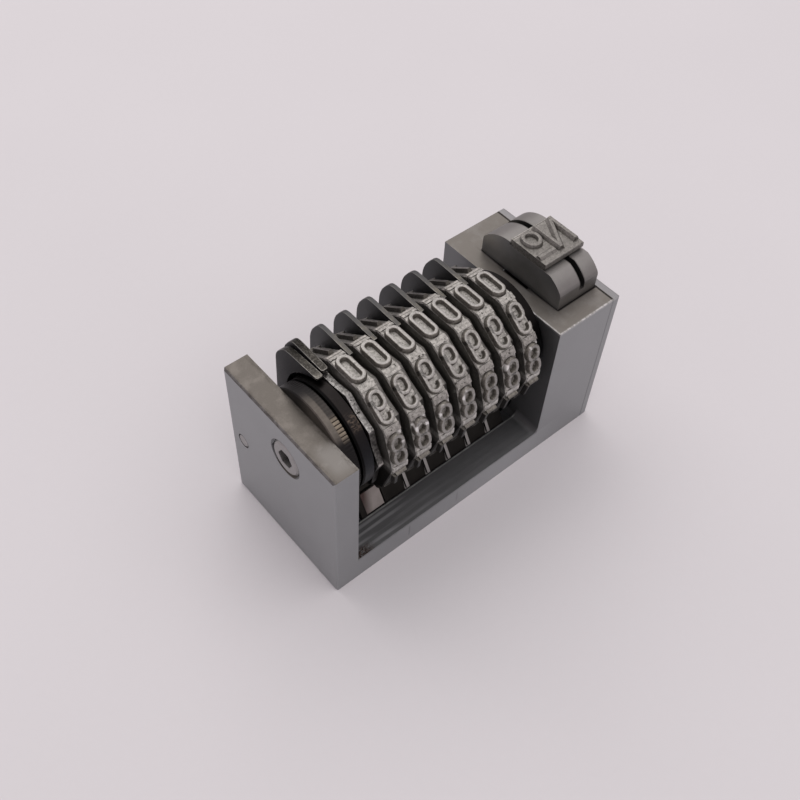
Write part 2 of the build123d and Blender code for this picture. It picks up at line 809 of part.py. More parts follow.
with BuildPart() as drive_pawl:
    with BuildSketch(comb_plane):
        with Locations((ratchet_left, 0)):
            Rectangle(comb_right - ratchet_left, comb_height, align=(Align.MIN, Align.MIN))
    extrude(amount=-comb_thickness)
    for place, finger_x in enumerate(finger_places):
        with BuildSketch(comb_plane.offset(finger_proud)):
            with Locations((finger_x, finger_foot)):
                Rectangle(
                    finger_width if place else ratchet_thickness,
                    finger_length - finger_foot - place * finger_step,
                    align=(Align.CENTER, Align.MIN),
                )
        extrude(amount=-finger_proud - comb_thickness)
    for knuckle_x in knuckle_places:
        with BuildSketch(across(knuckle_x - knuckle_length / 2)):
            with Locations((rod_y, rod_z)):
                Circle(swing_rod_radius + knuckle_wall)
        extrude(amount=knuckle_length)
    with BuildSketch(across(ratchet_left)):
        with Locations((rod_y, rod_z)):
            Circle(swing_rod_radius + hinge_fit)
    extrude(amount=comb_right - ratchet_left, mode=Mode.SUBTRACT)
drive_pawl.part.label = "drive_pawl"
export_step(drive_pawl.part, "parts/drive_pawl.step")

with BuildPart() as pawl_leaf:
    leaf_left = finger_places[0] + ratchet_thickness / 2 + slide_clearance
    leaf_right = finger_places[1] - finger_width / 2 - slide_clearance
    with BuildSketch(comb_plane):
        with Locations((leaf_left, finger_foot)):
            Rectangle(leaf_right - leaf_left, leaf_height, align=(Align.MIN, Align.MIN))
    extrude(amount=leaf_thickness)
pawl_leaf.part.label = "pawl_leaf"
export_step(pawl_leaf.part, "parts/pawl_leaf.step")

# Drawn about the swing rod: x up, y to the front and z along the rod.
drive_coil_radius = swing_rod_radius + drive_spring_wire / 2 + hinge_fit
drive_coil_pitch = drive_spring_wire + coil_gap
drive_coil_length = drive_coil_pitch * (drive_spring_turns + comb_slope / 360)
tie_reach = tie_y - rod_y + tie_rod_radius + drive_hook_room
hook_back = -drive_coil_radius - drive_hook_drop

with BuildPart() as drive_spring:
    with BuildLine() as drive_coil:
        Helix(drive_coil_pitch, drive_coil_length, drive_coil_radius)
    with BuildSketch(Plane(origin=drive_coil.line @ 0, z_dir=drive_coil.line % 0)):
        Circle(drive_spring_wire / 2)
    sweep(path=drive_coil.line)
    with BuildSketch(Plane(origin=drive_coil.line @ 1, z_dir=drive_coil.line % 1)):
        Circle(drive_spring_wire / 2)
    extrude(amount=drive_spring_leg)
    with BuildLine() as tie_hook:
        FilletPolyline(
            (drive_coil_radius, 0), (drive_coil_radius, -tie_reach),
            (hook_back, -tie_reach), (hook_back, drive_spring_hook - tie_reach),
            radius=drive_spring_bend,
        )
    with BuildSketch(Plane(origin=tie_hook.line @ 0, z_dir=tie_hook.line % 0)):
        Circle(drive_spring_wire / 2)
    sweep(path=tie_hook.line)
rod_plane = Plane(
    origin=(first_wheel_x + 2 * wheel_pitch, rod_y, rod_z), x_dir=(0, 0, 1), z_dir=(1, 0, 0),
)
placed_spring = drive_spring.part.moved(rod_plane.location)
placed_spring.label = "drive_pawl_spring"
export_step(placed_spring, "parts/drive_pawl_spring.step")

# --------------------------------------------------------------------- plunger
channel_reach = swing_pin_offset + swing_pin_radius + pin_room
spring_x = plunger_x + plunger_length - spring_from_right
saw_x = plunger_x + plunger_saw_from_left
saw_floor = body_height + plunger_saw_floor_rise
sign_front = shaft_y - sign_plate_lead
sign_back = sign_front + sign_plate_depth
sign_seat = body_height + sign_seat_rise
flat_front = pocket_middle - plunger_flat / 2
flat_back = pocket_middle + plunger_flat / 2

with BuildPart() as plunger:
    with BuildSketch(across(plunger_x)):
        with BuildLine():
            Polyline(
                (plunger_front, plunger_shoulder), (plunger_front, plunger_foot),
                (plunger_back, plunger_foot), (plunger_back, plunger_shoulder),
            )
            Line((flat_front, plunger_crown), (flat_back, plunger_crown))
            TangentArc(
                (flat_back, plunger_crown), (plunger_back, plunger_shoulder), tangent=(1, 0),
            )
            TangentArc(
                (flat_front, plunger_crown), (plunger_front, plunger_shoulder), tangent=(-1, 0),
            )
        make_face()
    extrude(amount=plunger_length)
    # channel over the swing pin, spring seat and stop slot
    with BuildSketch(across(plunger_x)):
        with Locations((shaft_y, plunger_foot)):
            Rectangle(
                2 * channel_reach, pin_roof - plunger_foot, align=(Align.CENTER, Align.MIN),
            )
    extrude(amount=plunger_length, mode=Mode.SUBTRACT)
    with BuildSketch(Plane.XY.offset(pin_roof)):
        with Locations((spring_x, shaft_y)):
            Circle(plunger_spring_radius + plunger_spring_wire / 2 + 0.15)
    extrude(amount=2.0, mode=Mode.SUBTRACT)
    with BuildSketch(across(plunger_x)):
        with Locations((stop_y, stop_z + plunger_stroke / 2)):
            SlotCenterToCenter(
                plunger_stroke, 2 * stop_screw_radius + 2 * slide_clearance, rotation=90,
            )
    extrude(amount=1.2, mode=Mode.SUBTRACT)
    # seat of the sign plate, and the saw cut along the crown
    with BuildSketch(across(plunger_x)):
        with Locations((plunger_front, sign_seat)):
            Rectangle(
                sign_back + slide_clearance - plunger_front, 3, align=(Align.MIN, Align.MIN),
            )
    extrude(amount=plunger_length, mode=Mode.SUBTRACT)
    with BuildSketch(Plane.XY.offset(saw_floor)):
        with Locations((saw_x, pocket_middle)):
            Rectangle(plunger_saw_cut, plunger_back - plunger_front + 1)
    extrude(amount=plunger_crown - saw_floor, mode=Mode.SUBTRACT)
plunger.part.label = "plunger"
export_step(plunger.part, "parts/plunger.step")

letter_left = plunger_x + sign_letter_from_left
letter_right = plunger_x + plunger_length - sign_letter_from_right
letter_foot = sign_front + sign_letter_margin
letter_head = sign_back - sign_letter_margin
plate_top = sign_seat + sign_neck + sign_plate_thickness

with BuildPart() as sign_plate:
    with BuildSketch(Plane.XY.offset(sign_seat)):
        with Locations((plunger_x, sign_front + sign_neck_inset)):
            Rectangle(
                plunger_length, sign_plate_depth - 2 * sign_neck_inset,
                align=(Align.MIN, Align.MIN),
            )
    extrude(amount=plate_top - sign_seat)
    with BuildSketch(Plane.XY.offset(plate_top)):
        with Locations((plunger_x, sign_front)):
            Rectangle(plunger_length, sign_plate_depth, align=(Align.MIN, Align.MIN))
    extrude(amount=-sign_plate_thickness)
    # mirrored number sign: the small raised o with its bar stands left of the N
    with BuildSketch(Plane.XY.offset(plate_top)):
        with Locations((plunger_x + sign_ring_from_left, sign_back - sign_ring_from_back)):
            Circle(sign_ring_radius)
            Circle(sign_ring_hole, mode=Mode.SUBTRACT)
        with Locations((plunger_x + sign_ring_from_left, sign_front + sign_line_from_front)):
            Rectangle(sign_line_length, digit_stroke)
        for upright_x in (letter_left, letter_right):
            with Locations((upright_x, (letter_foot + letter_head) / 2)):
                Rectangle(digit_stroke, letter_head - letter_foot)
        with BuildLine() as diagonal:
            Line(
                (letter_right, letter_head - digit_stroke / 2),
                (letter_left, letter_foot + digit_stroke / 2),
            )
        SlotArc(diagonal.wire(), digit_stroke)
    extrude(amount=sign_relief)
sign_plate.part.label = "sign_plate"
export_step(sign_plate.part, "parts/sign_plate.step")

with BuildPart() as plunger_spring:
    coil_bottom = pocket_floor + plunger_spring_wire / 2 + seat_clearance
    coil_top = pin_roof + 2.0 - plunger_spring_wire / 2 - seat_clearance
    with BuildLine() as plunger_coil:
        Helix(
            (coil_top - coil_bottom) / plunger_spring_turns, coil_top - coil_bottom,
            plunger_spring_radius, center=(spring_x, shaft_y, coil_bottom),
        )
    with BuildSketch(Plane(origin=plunger_coil.line @ 0, z_dir=plunger_coil.line % 0)):
        Circle(plunger_spring_wire / 2)
    sweep(path=plunger_coil.line)
plunger_spring.part.label = "plunger_spring"
export_step(plunger_spring.part, "parts/plunger_spring.step")

with BuildPart() as stop_screw:
    with BuildSketch(across(block_inner)):
        with Locations((stop_y, stop_z)):
            Circle(stop_screw_radius)
    extrude(amount=block_wall_left + slide_clearance + 1.0)
stop_screw.part.label = "plunger_stop_screw"
export_step(stop_screw.part, "parts/plunger_stop_screw.step")
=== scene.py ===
"""Looks of the numbering machine: type wheels, ratchets, blades and frame.

Shapes are modelled in millimetres and brought to metres when each piece is finished.
"""

import math
import random

import bmesh
import bpy
from mathutils import Matrix, Vector


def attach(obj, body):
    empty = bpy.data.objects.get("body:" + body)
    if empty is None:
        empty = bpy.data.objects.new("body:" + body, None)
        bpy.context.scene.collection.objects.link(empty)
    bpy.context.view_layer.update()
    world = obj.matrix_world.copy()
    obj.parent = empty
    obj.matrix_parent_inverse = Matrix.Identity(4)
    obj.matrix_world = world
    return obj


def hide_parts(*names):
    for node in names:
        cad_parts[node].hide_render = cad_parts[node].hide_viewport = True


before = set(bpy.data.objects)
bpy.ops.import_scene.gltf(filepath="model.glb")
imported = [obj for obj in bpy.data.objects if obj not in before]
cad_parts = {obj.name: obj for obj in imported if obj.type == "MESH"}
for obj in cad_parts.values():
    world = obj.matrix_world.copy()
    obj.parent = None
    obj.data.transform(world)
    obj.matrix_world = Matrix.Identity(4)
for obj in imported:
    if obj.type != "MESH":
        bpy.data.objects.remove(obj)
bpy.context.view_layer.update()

# ---------------------------------------------------------------- sizes, in mm
MM = 0.001
# the frame
BODY_LEFT = -24.0
BODY_FRONT = -11.0
BODY_TOP = 25.0
BASE_HEIGHT = 4.35
WALL_INNER = -20.4
BLOCK_INNER = 12.4
COVER_INNER = 22.45
TROUGH_FRONT = -6.70
POCKET_LEFT = 15.15
POCKET_FRONT = -7.8
# the two shafts
SHAFT_Y = -1.3
SHAFT_Z = 19.44
SHAFT_BORE = 2.03
SHAFT_HEAD_RADIUS = 2.55
PAWL_Y = 8.4
PAWL_Z = 12.70
PAWL_SHAFT_RADIUS = 1.0
# the number wheels
WHEEL_COUNT = 7
WHEEL_PITCH = 3.775
FIRST_WHEEL_X = -13.86
FACETS = 10
FACET_STEP = 360 / FACETS
FACET_RADIUS = 9.13
RIM_WIDTH = 2.4
BOSS_RADIUS = 3.2
BOSS_REACH = 1.3
LAND_LENGTH = 0.50
LAND_HEIGHT = 0.24
LAND_LEAN = 16.0
# the figures on them
DIGIT_HEIGHT = 4.43
DIGIT_WIDTH = 2.03
STROKE = 0.42
RELIEF = 0.56
SHOULDER_REACH = 0.16
# the blades: the corner between a blade's curved top and its upright back
SHOULDER_Y = 9.0
SHOULDER_Z = 25.0
# the swing, the comb and the knurled collar
CHEEK_X = -18.2
FINGER_X = -11.9725
LEAF_X = -15.4
COLLAR_RADIUS = 7.8
COLLAR_WIDTH = 2.0
KNURL_X = WALL_INNER + 0.85
KNURL_GROOVES = 96
KNURL_DEPTH = 0.06
# the plunger and its sign plate
PLUNGER_X = 15.25
SAW_X = 19.4
CREASE_Z = 27.47
SIGN_FRONT = -4.4
SIGN_LENGTH = 7.1
SIGN_DEPTH = 6.3
SIGN_SEAT = 29.4
SIGN_TOP = 30.5


# -------------------------------------------------------------- shader algebra
class Signal:
    """A value that changes over a surface. Arithmetic on it adds the nodes that work it out."""

    def __init__(self, tree, socket):
        self.tree = tree
        self.socket = socket

    def _math(self, operation, first, second=0.0):
        return self.tree.node("ShaderNodeMath", {"operation": operation}, {0: first, 1: second})

    def __add__(self, other):
        return self._math("ADD", self, other)

    __radd__ = __add__

    def __sub__(self, other):
        return self._math("SUBTRACT", self, other)

    def __rsub__(self, other):
        return self._math("SUBTRACT", other, self)

    def __mul__(self, other):
        return self._math("MULTIPLY", self, other)

    __rmul__ = __mul__

    def __pow__(self, other):
        return self._math("POWER", self, other)

    def __neg__(self):
        return self._math("SUBTRACT", 0.0, self)

    def __abs__(self):
        return self._math("ABSOLUTE", self)

    def sine(self):
        """The sine of the value, in radians."""
        return self._math("SINE", self)

    def to_and_fro(self, reach):
        """The value run up from 0 to a reach and back again, over and over."""
        return self._math("PINGPONG", self, reach)

    def above(self, other):
        """The larger of the two."""
        return self._math("MAXIMUM", self, other)

    def rising(self, low, high):
        """0 below low, 1 above high and a soft step between."""
        return self.tree.node(
            "ShaderNodeMapRange", {"interpolation_type": "SMOOTHSTEP"},
            {"Value": self, "From Min": low, "From Max": high},
        )

    def falling(self, low, high):
        """1 below low, 0 above high and a soft step between."""
        return 1.0 - self.rising(low, high)


class Nodes:
    """A node tree, with the one way in which nodes are added to it."""

    def __init__(self, tree):
        self.nodes = tree.nodes
        self.links = tree.links

    def node(self, kind, settings=None, inputs=None, output=0):
        """Adds a node: its settings first, then the values or links of its sockets."""
        made = self.nodes.new(kind)
        for key, value in (settings or {}).items():
            setattr(made, key, value)
        for key, value in (inputs or {}).items():
            self.feed(made.inputs[key], value)
        return Signal(self, made.outputs[output])

    def feed(self, socket, value):
        """Links a signal to a socket, or sets the socket's own value."""
        if isinstance(value, Signal):
            self.links.new(value.socket, socket)
        elif isinstance(value, tuple) and socket.type == "RGBA":
            socket.default_value = (*value, 1.0)
        else:
            socket.default_value = value


class Finish(Nodes):
    """One material, built from nodes."""

    def __init__(self, name, metallic=1.0):
        self.material = bpy.data.materials.new(name)
        self.material.use_nodes = True
        super().__init__(self.material.node_tree)
        self.shader = self.nodes["Principled BSDF"]
        self.shader.inputs["Metallic"].default_value = metallic

    def place(self):
        """Where a point lies on the object, in metres."""
        return self.node("ShaderNodeTexCoord", output="Object")

    def axis(self, name):
        """One coordinate of that place, in millimetres."""
        split = self.node("ShaderNodeSeparateXYZ", inputs={0: self.place()}, output=name)
        return split * (1 / MM)

    def noise(self, size, detail=3.0, roughness=0.55, stretch=(1, 1, 1)):
        """Noise with grains of about the given size in mm, 0 to 1."""
        where = self.node("ShaderNodeMapping", inputs={"Vector": self.place(), "Scale": stretch})
        settings = {"Scale": 1 / (size * MM), "Detail": detail, "Roughness": roughness}
        return self.node("ShaderNodeTexNoise", inputs={"Vector": where, **settings})

    def facing(self, name):
        """One component of the surface's own direction, -1 to 1."""
        normal = self.node("ShaderNodeNewGeometry", output="True Normal")
        return self.node("ShaderNodeSeparateXYZ", inputs={0: normal}, output=name)

    def from_axis(self, y, z):
        """How far a point lies from a line along X, in millimetres."""
        out_y, out_z = self.axis("Y") - y, self.axis("Z") - z
        return (out_y * out_y + out_z * out_z) ** 0.5

    def band(self, value, middle, half):
        """1 where the value is near the middle, falling softly to 0 about half away from it."""
        return abs(value - middle).falling(0.4 * half, 1.3 * half)

    def crevice(self, reach):
        """0 in the open, towards 1 in a corner of the piece shut in within reach, in mm."""
        open_sky = self.node(
            "ShaderNodeAmbientOcclusion", {"samples": 8, "only_local": True},
            {"Distance": reach * MM}, output="AO",
        )
        return 1.0 - open_sky

    def blend(self, amount, under, over):
        """A colour that goes from under to over with the amount."""
        return self.node(
            "ShaderNodeMix", {"data_type": "RGBA", "clamp_factor": True},
            {"Factor": amount, 6: under, 7: over}, output=2,
        )

    def shade(self, colour, amount):
        """The colour, darker or lighter by a factor that changes over the surface."""
        grey = self.node("ShaderNodeCombineColor", inputs={0: amount, 1: amount, 2: amount})
        return self.node(
            "ShaderNodeMix", {"data_type": "RGBA", "blend_type": "MULTIPLY"},
            {"Factor": 1.0, 6: colour, 7: grey}, output=2,
        )

    def surface(self, colour, roughness, height=None, depth=0.0):
        """Feeds the shader. depth is the bump's depth in mm."""
        self.feed(self.shader.inputs["Base Color"], colour)
        self.feed(self.shader.inputs["Roughness"], roughness)
        if height is not None:
            bump = self.node("ShaderNodeBump", inputs={"Height": height, "Distance": depth * MM})
            self.feed(self.shader.inputs["Normal"], bump)
        return self.material


# -------------------------------------------------------------------- finishes
# the black of painted shade in gaps and corners
SHADE_BLACK = (0.020, 0.019, 0.018)
# the black of painted shade in corners
CREVICE_SHADE = (0.010, 0.010, 0.010)
UNLIT = (0.006, 0.006, 0.006)


def milled_bed(f):
    """The bed of the frame's window, milled along its length and oily: its colour and its cuts, their
    pale streaks painted reflection.
    """
    x, y = f.axis("X"), f.axis("Y")
    drift = f.noise(5.0, 2.0, 0.5, (0.25, 1.0, 1.0))
    wave = ((y + 0.9 * drift) * 6.2).sine()
    cut_and_sheen = wave.rising(-0.6, 1.0) * f.noise(1.6, 2.0, 0.6, (0.12, 1.0, 1.0)).rising(0.3, 0.6)
    fade = x.falling(-17.0, -1.0)
    oily = f.noise(1.8, 4.0, 0.6, (0.25, 1.0, 1.0))
    # the cuts are real, but their pale streaks, fading to the right, are painted reflection
    milled = f.shade((0.28, 0.287, 0.294), 0.52 + 0.4 * oily + 0.9 * cut_and_sheen * fade)
    # dirt has gathered in its front left corner
    crumbs = f.noise(0.35, 3.0, 0.8).rising(0.36, 0.50) * x.falling(WALL_INNER + 1.2, WALL_INNER + 3.6)
    crumbs = crumbs * y.falling(BODY_FRONT + 0.7, BODY_FRONT + 1.8)
    fleck = f.noise(0.2, 2.0, 0.6).rising(0.5, 0.62)
    litter = f.blend(fleck, (0.045, 0.032, 0.027), (0.17, 0.13, 0.11))
    return f.blend(crumbs, milled, litter), cut_and_sheen


def painted_gap_shade(f, colour, up):
    """The frame's colour with painted shade, black, in the fine gaps at the cover and round the
    plunger.
    """
    x, y = f.axis("X"), f.axis("Y")
    # the black in the cover's seam is painted shade in the gap
    seam = f.band(x, COVER_INNER - 0.02, 0.17)
    colour = f.blend(seam * (0.2 + 0.7 * up), colour, SHADE_BLACK)
    # the black in the relief slot and along the plunger's pocket is painted shade too
    relief = f.band(x, POCKET_LEFT - 0.20, 0.34) * f.band(y, -0.6, 3.6)
    pocket = relief.above(f.band(x, POCKET_LEFT - 0.06, 0.16) * f.band(y, -0.5, 7.0))
    in_front = f.band(y, POCKET_FRONT - 0.04, 0.14) * x.rising(POCKET_LEFT - 0.15, POCKET_LEFT + 0.15)
    return f.blend(pocket.above(in_front) * up * 0.85, colour, SHADE_BLACK)


def shaft_ring_shade(f, colour):
    """The frame's colour with painted shade in the gaps round the two shafts' ends: dark rings."""
    head = f.band(f.from_axis(SHAFT_Y, SHAFT_Z), SHAFT_HEAD_RADIUS + 0.17, 0.16)
    pin = f.band(f.from_axis(PAWL_Y, PAWL_Z), PAWL_SHAFT_RADIUS + 0.02, 0.10)
    left = (-f.facing("X")).rising(0.3, 0.6)
    return f.blend(left * head.above(pin) * 0.85, colour, (0.02, 0.02, 0.02))


def blasted_steel():
    """Bead-blasted grey steel of the frame and its cover, handled brown on the upper faces."""
    f = Finish("blasted_steel")
    x, y, z = f.axis("X"), f.axis("Y"), f.axis("Z")
    grain = f.noise(0.16, 4.0, 0.7)
    cloud = f.noise(5.0, 4.0, 0.6)
    stain = f.noise(2.6, 5.0, 0.65).rising(0.44, 0.66)
    scratch = f.noise(0.5, 6.0, 0.78, (1.0, 0.40, 1.0)).rising(0.42, 0.62)
    level = f.facing("Z")
    up = level.rising(0.6, 0.9)
    grey = f.shade((0.344, 0.352, 0.360), 0.86 + 0.14 * cloud + 0.10 * grain)
    warm = f.shade((0.176, 0.166, 0.150), 0.74 + 0.30 * cloud + 0.20 * grain)
    colour = f.blend(up, grey, f.blend(stain * 0.50, warm, (0.235, 0.229, 0.217)))
    # the window's bed, its end faces darkened as painted shade, and the trough's front edge, rubbed
    # bright
    inside = x.rising(WALL_INNER - 0.05, WALL_INNER) * x.falling(BLOCK_INNER, BLOCK_INNER + 0.05)
    bed = inside * up * z.falling(9.0, 10.0)
    milled, cut_and_sheen = milled_bed(f)
    colour = f.blend(bed, colour, milled)
    # the window's inner upright faces are painted darker: painted shade
    inner = inside * (1.0 - up) * z.rising(BASE_HEIGHT - 0.6, BASE_HEIGHT + 0.1)
    colour = f.blend(inner * 0.6, colour, (0.12, 0.121, 0.125))
    worn = f.band(y, TROUGH_FRONT - 0.12, 0.12) * inside * f.band(z, BASE_HEIGHT, 0.3)
    colour = f.blend(worn * (0.55 + 0.45 * stain), colour, (0.62, 0.64, 0.62))
    colour = painted_gap_shade(f, colour, up)
    # the left wall's top is browner still, and rubbed pale near its front corner
    on_wall = x.falling(WALL_INNER + 0.2, WALL_INNER + 0.4)
    wall = on_wall * up
    brown = f.shade((0.150, 0.138, 0.123), 0.72 + 0.26 * stain + 0.34 * grain)
    colour = f.blend(wall * 0.85, colour, brown)
    pale_spot = f.band(x, -21.4, 1.9) * f.band(y, -8.2, 2.6) * (0.5 + 0.5 * stain)
    colour = f.blend(wall * pale_spot, colour, (0.245, 0.240, 0.228))
    # its long edges are scratched dark, and so is the rounding all round it
    rubbed = f.band(x, BODY_LEFT + 0.15, 0.42).above(f.band(x, WALL_INNER - 0.1, 0.5)) * up
    colour = f.blend(rubbed * scratch * 0.55, colour, (0.070, 0.064, 0.056))
    rim = level.rising(0.15, 0.35) * level.falling(0.93, 0.98)
    rim = rim * z.rising(BODY_TOP - 1.0, BODY_TOP - 0.5) * on_wall
    colour = f.blend(rim * (0.30 + 0.45 * scratch), colour, (0.075, 0.066, 0.057))
    # the block's front top edges are rubbed bright
    corner = f.band(x, BLOCK_INNER, 0.22) * y.falling(-6.0, -4.0)
    on_block = x.rising(BLOCK_INNER, BLOCK_INNER + 0.3)
    corner = corner.above(0.9 * f.band(y, BODY_FRONT, 0.24) * on_block)
    corner = corner * z.rising(BODY_TOP - 0.4, BODY_TOP - 0.1)
    colour = f.blend(corner * (0.3 + 0.7 * scratch), colour, (0.56, 0.56, 0.555))
    # the cover's top is plain grey, and the sill's front is painted paler to the right: a painted
    # gradient of light
    lid = x.rising(COVER_INNER + 0.12, COVER_INNER + 0.2) * up
    colour = f.blend(lid, colour, f.shade((0.262, 0.262, 0.266), 0.85 + 0.3 * grain))
    sill_light = z.falling(BASE_HEIGHT - 0.15, BASE_HEIGHT + 0.15) * (1.0 - up) * f.band(x, 0.0, 15.0)
    colour = f.shade(colour, 1.0 + 0.22 * sill_light * x.rising(-14.0, 6.0))
    # two faint upright marks on the front of the sill
    mark = f.band(x, -11.6, 0.16).above(0.7 * f.band(x, -2.95, 0.16))
    mark = mark * f.band(z, 2.4, 1.3)
    ahead = (-f.facing("Y")).rising(0.5, 0.8)
    colour = f.blend(mark * ahead * 0.35, colour, (0.10, 0.10, 0.10))
    colour = shaft_ring_shade(f, colour)
    # painted shade in the frame's corners
    corner_shade = f.crevice(1.0).rising(0.3, 0.9)
    colour = f.blend(corner_shade * 0.5, colour, (0.03, 0.028, 0.027))
    roughness = 0.46 + 0.10 * cloud + 0.06 * grain
    return f.surface(colour, roughness, grain + 0.6 * bed * cut_and_sheen, 0.008)


def type_metal(name, colour, shine, speck, corner_shading, shade_below=None):
    """Cast and handled metal of the type wheels: speckled, and painted with shade in the corners and
    below.

    speck and corner_shading say how much speck and painted corner shade it shows; below shade_below, a
    height in mm, it has painted shade.
    """
    f = Finish(name)
    y, z = f.axis("Y"), f.axis("Z")
    grain = f.noise(0.13, 5.0, 0.75)
    spot = f.noise(0.36, 4.0, 0.7).rising(0.38, 0.62)
    cloud = f.noise(2.4, 3.0, 0.6)
    fine = grain.rising(0.36, 0.64)
    tone = f.shade(colour, 0.44 + 0.24 * cloud + 0.38 * fine + speck * spot * 0.6)
    pits = f.noise(0.34, 1.0, 0.4).rising(0.66, 0.73)
    tone = f.blend(pits * speck, tone, (0.03, 0.028, 0.025))
    if shade_below is not None:
        # below that height the metal is painted dark: painted shade where its faces turn down
        low_shade = z.falling(shade_below - 0.9, shade_below)
        tone = f.blend(low_shade * 0.8, tone, f.shade((0.075, 0.073, 0.068), 0.4 + 1.2 * spot))
    # painted shade in the corners, and on the wheels' backs and undersides
    corner_shade = f.crevice(0.5).rising(0.26, 0.9) * corner_shading
    tone = f.blend(corner_shade, tone, (0.028, 0.026, 0.022))
    back_shade = y.rising(SHAFT_Y + 3.5, SHAFT_Y + 4.2)
    under_shade = z.falling(SHAFT_Z - 1.5, SHAFT_Z - 0.5)
    tone = f.blend((0.45 * back_shade).above(0.86 * under_shade), tone, (0.016, 0.015, 0.014))
    # the corner that stands foremost, at the shaft's height, is rubbed bright
    rubbed = f.band(z, SHAFT_Z + 0.25, 0.60) * (0.4 + 0.6 * spot)
    tone = f.blend(rubbed * (1.0 - corner_shade), tone, (0.62, 0.61, 0.58))
    # behind the top facet lies a groove in painted shade, and after it a land painted pale: a painted
    # highlight
    on_top = z.rising(SHAFT_Z + 7.96, SHAFT_Z + 8.36)
    # crown marks the land that gets the painted highlight
    crown = f.band(y, SHAFT_Y + 3.20, 0.46) * on_top
    pale = f.shade((0.40, 0.39, 0.36), 0.7 + 0.5 * spot)
    tone = f.blend(0.75 * crown * (1.0 - 0.5 * corner_shade), tone, pale)
    groove_shade = f.band(y, SHAFT_Y + 2.98, 0.07) * on_top
    tone = f.blend(0.75 * groove_shade, tone, (0.05, 0.048, 0.044))
    # small painted highlights on the front facets above the shaft
    glint = f.noise(1.1, 1.0, 0.4).rising(0.56, 0.64) * f.band(z, SHAFT_Z + 4.4, 0.7)
    glint = glint * (SHAFT_Y - y).rising(7.0, 8.0)
    tone = f.blend(glint * 0.8 * (1.0 - corner_shade), tone, (0.90, 0.90, 0.88))
    roughness = shine + 0.18 * grain + 0.12 * corner_shade
    return f.surface(tone, roughness, grain + 0.6 * spot, 0.016)


def dark_steel(name, colour, shine, worn, worn_from, ahead_of=99.0):
    """Blued or oiled steel, rubbed where it faces up above a height, ahead of a depth in mm."""
    f = Finish(name)
    grain = f.noise(0.18, 4.0, 0.65)
    cloud = f.noise(2.8, 3.0, 0.55)
    rub = f.noise(0.45, 4.0, 0.7, (1.0, 0.5, 1.0)).rising(0.38, 0.68)
    up = f.facing("Z").rising(0.2, 0.7) * f.axis("Z").rising(worn_from, worn_from + 1.5)
    up = up * (1.0 - 0.85 * f.axis("Y").rising(ahead_of - 3.5, ahead_of))
    tone = f.shade(colour, 0.7 + 0.4 * cloud + 0.25 * grain)
    tone = f.blend(up * (0.25 + 0.75 * rub), tone, worn)
    # painted shade in the corners
    corner_shade = f.crevice(1.6).rising(0.3, 0.95)
    tone = f.blend(corner_shade * 0.6, tone, CREVICE_SHADE)
    roughness = shine + 0.15 * cloud + 0.08 * grain
    return f.surface(tone, roughness, grain + 0.7 * up * rub, 0.010)


def knurled_steel():
    """Dark knurled steel, rubbed brown where it is turned by hand, that band painted as lit and its
    grooves painted dark as shade.
    """
    f = Finish("knurled_steel")
    grain = f.noise(0.14, 4.0, 0.7)
    cloud = f.noise(1.6, 4.0, 0.7)
    x = f.axis("X")
    ahead = SHAFT_Y - f.axis("Y")
    crest = f.from_axis(SHAFT_Y, SHAFT_Z).rising(COLLAR_RADIUS - 0.045, COLLAR_RADIUS - 0.015)
    teeth = x.rising(KNURL_X, KNURL_X + 0.20)
    # sheen and rubbed mark a band painted as lit, a painted sheen; the rest of the collar is left dark
    sheen = ahead.rising(-2.5, 1.5) * ahead.falling(4.7, 5.9)
    rubbed = ahead.rising(2.6, 3.6) * ahead.falling(5.0, 6.0)
    dark = f.shade((0.026, 0.025, 0.025), 0.6 + 0.5 * cloud)
    smooth = f.shade((0.118, 0.107, 0.094), 0.45 + 1.0 * cloud)
    brown = f.shade((0.185, 0.160, 0.126), 0.1 + 1.1 * cloud + 0.7 * grain)
    # the grooves between the crests are painted dark: painted shade
    brown = f.blend(crest, (0.020, 0.017, 0.014), brown)
    tone = f.blend(sheen * (1.0 - 0.75 * teeth), dark, smooth)
    tone = f.blend(rubbed * teeth, tone, brown)
    right = WALL_INNER + COLLAR_WIDTH
    tone = f.blend(x.rising(right - 0.22, right - 0.10), tone, UNLIT)
    return f.surface(tone, 0.40 + 0.2 * grain, grain, 0.012)


def oiled_steel():
    """Blue-black oiled steel of the swing, rubbed brown at one place near the collar."""
    f = Finish("oiled_steel")
    grain = f.noise(0.18, 4.0, 0.65)
    cloud = f.noise(2.2, 4.0, 0.6)
    x = f.axis("X")
    gap = x.falling(CHEEK_X + 0.30, CHEEK_X + 0.42)
    height = f.axis("Z") - SHAFT_Z
    left = x.falling(0.0, 1.0)
    rubbed = f.band(height, 6.2, 0.7) * (-f.axis("Y")).rising(2.6, 3.6) * left
    low = height.falling(0.0, 7.0)
    tone = f.blend(low, (0.020, 0.018, 0.0175), (0.025, 0.027, 0.031))
    tone = f.shade(tone, (0.35 + 0.7 * cloud + 0.35 * grain) * (0.5 + 0.5 * left))
    flecks = f.noise(0.5, 4.0, 0.8, (1.0, 2.5, 1.0)).rising(0.46, 0.60)
    tone = f.blend(rubbed * flecks, tone, (0.080, 0.064, 0.052))
    tone = f.blend(gap, tone, UNLIT)
    return f.surface(tone, 0.30 + 0.15 * cloud + 0.25 * gap, grain, 0.008)


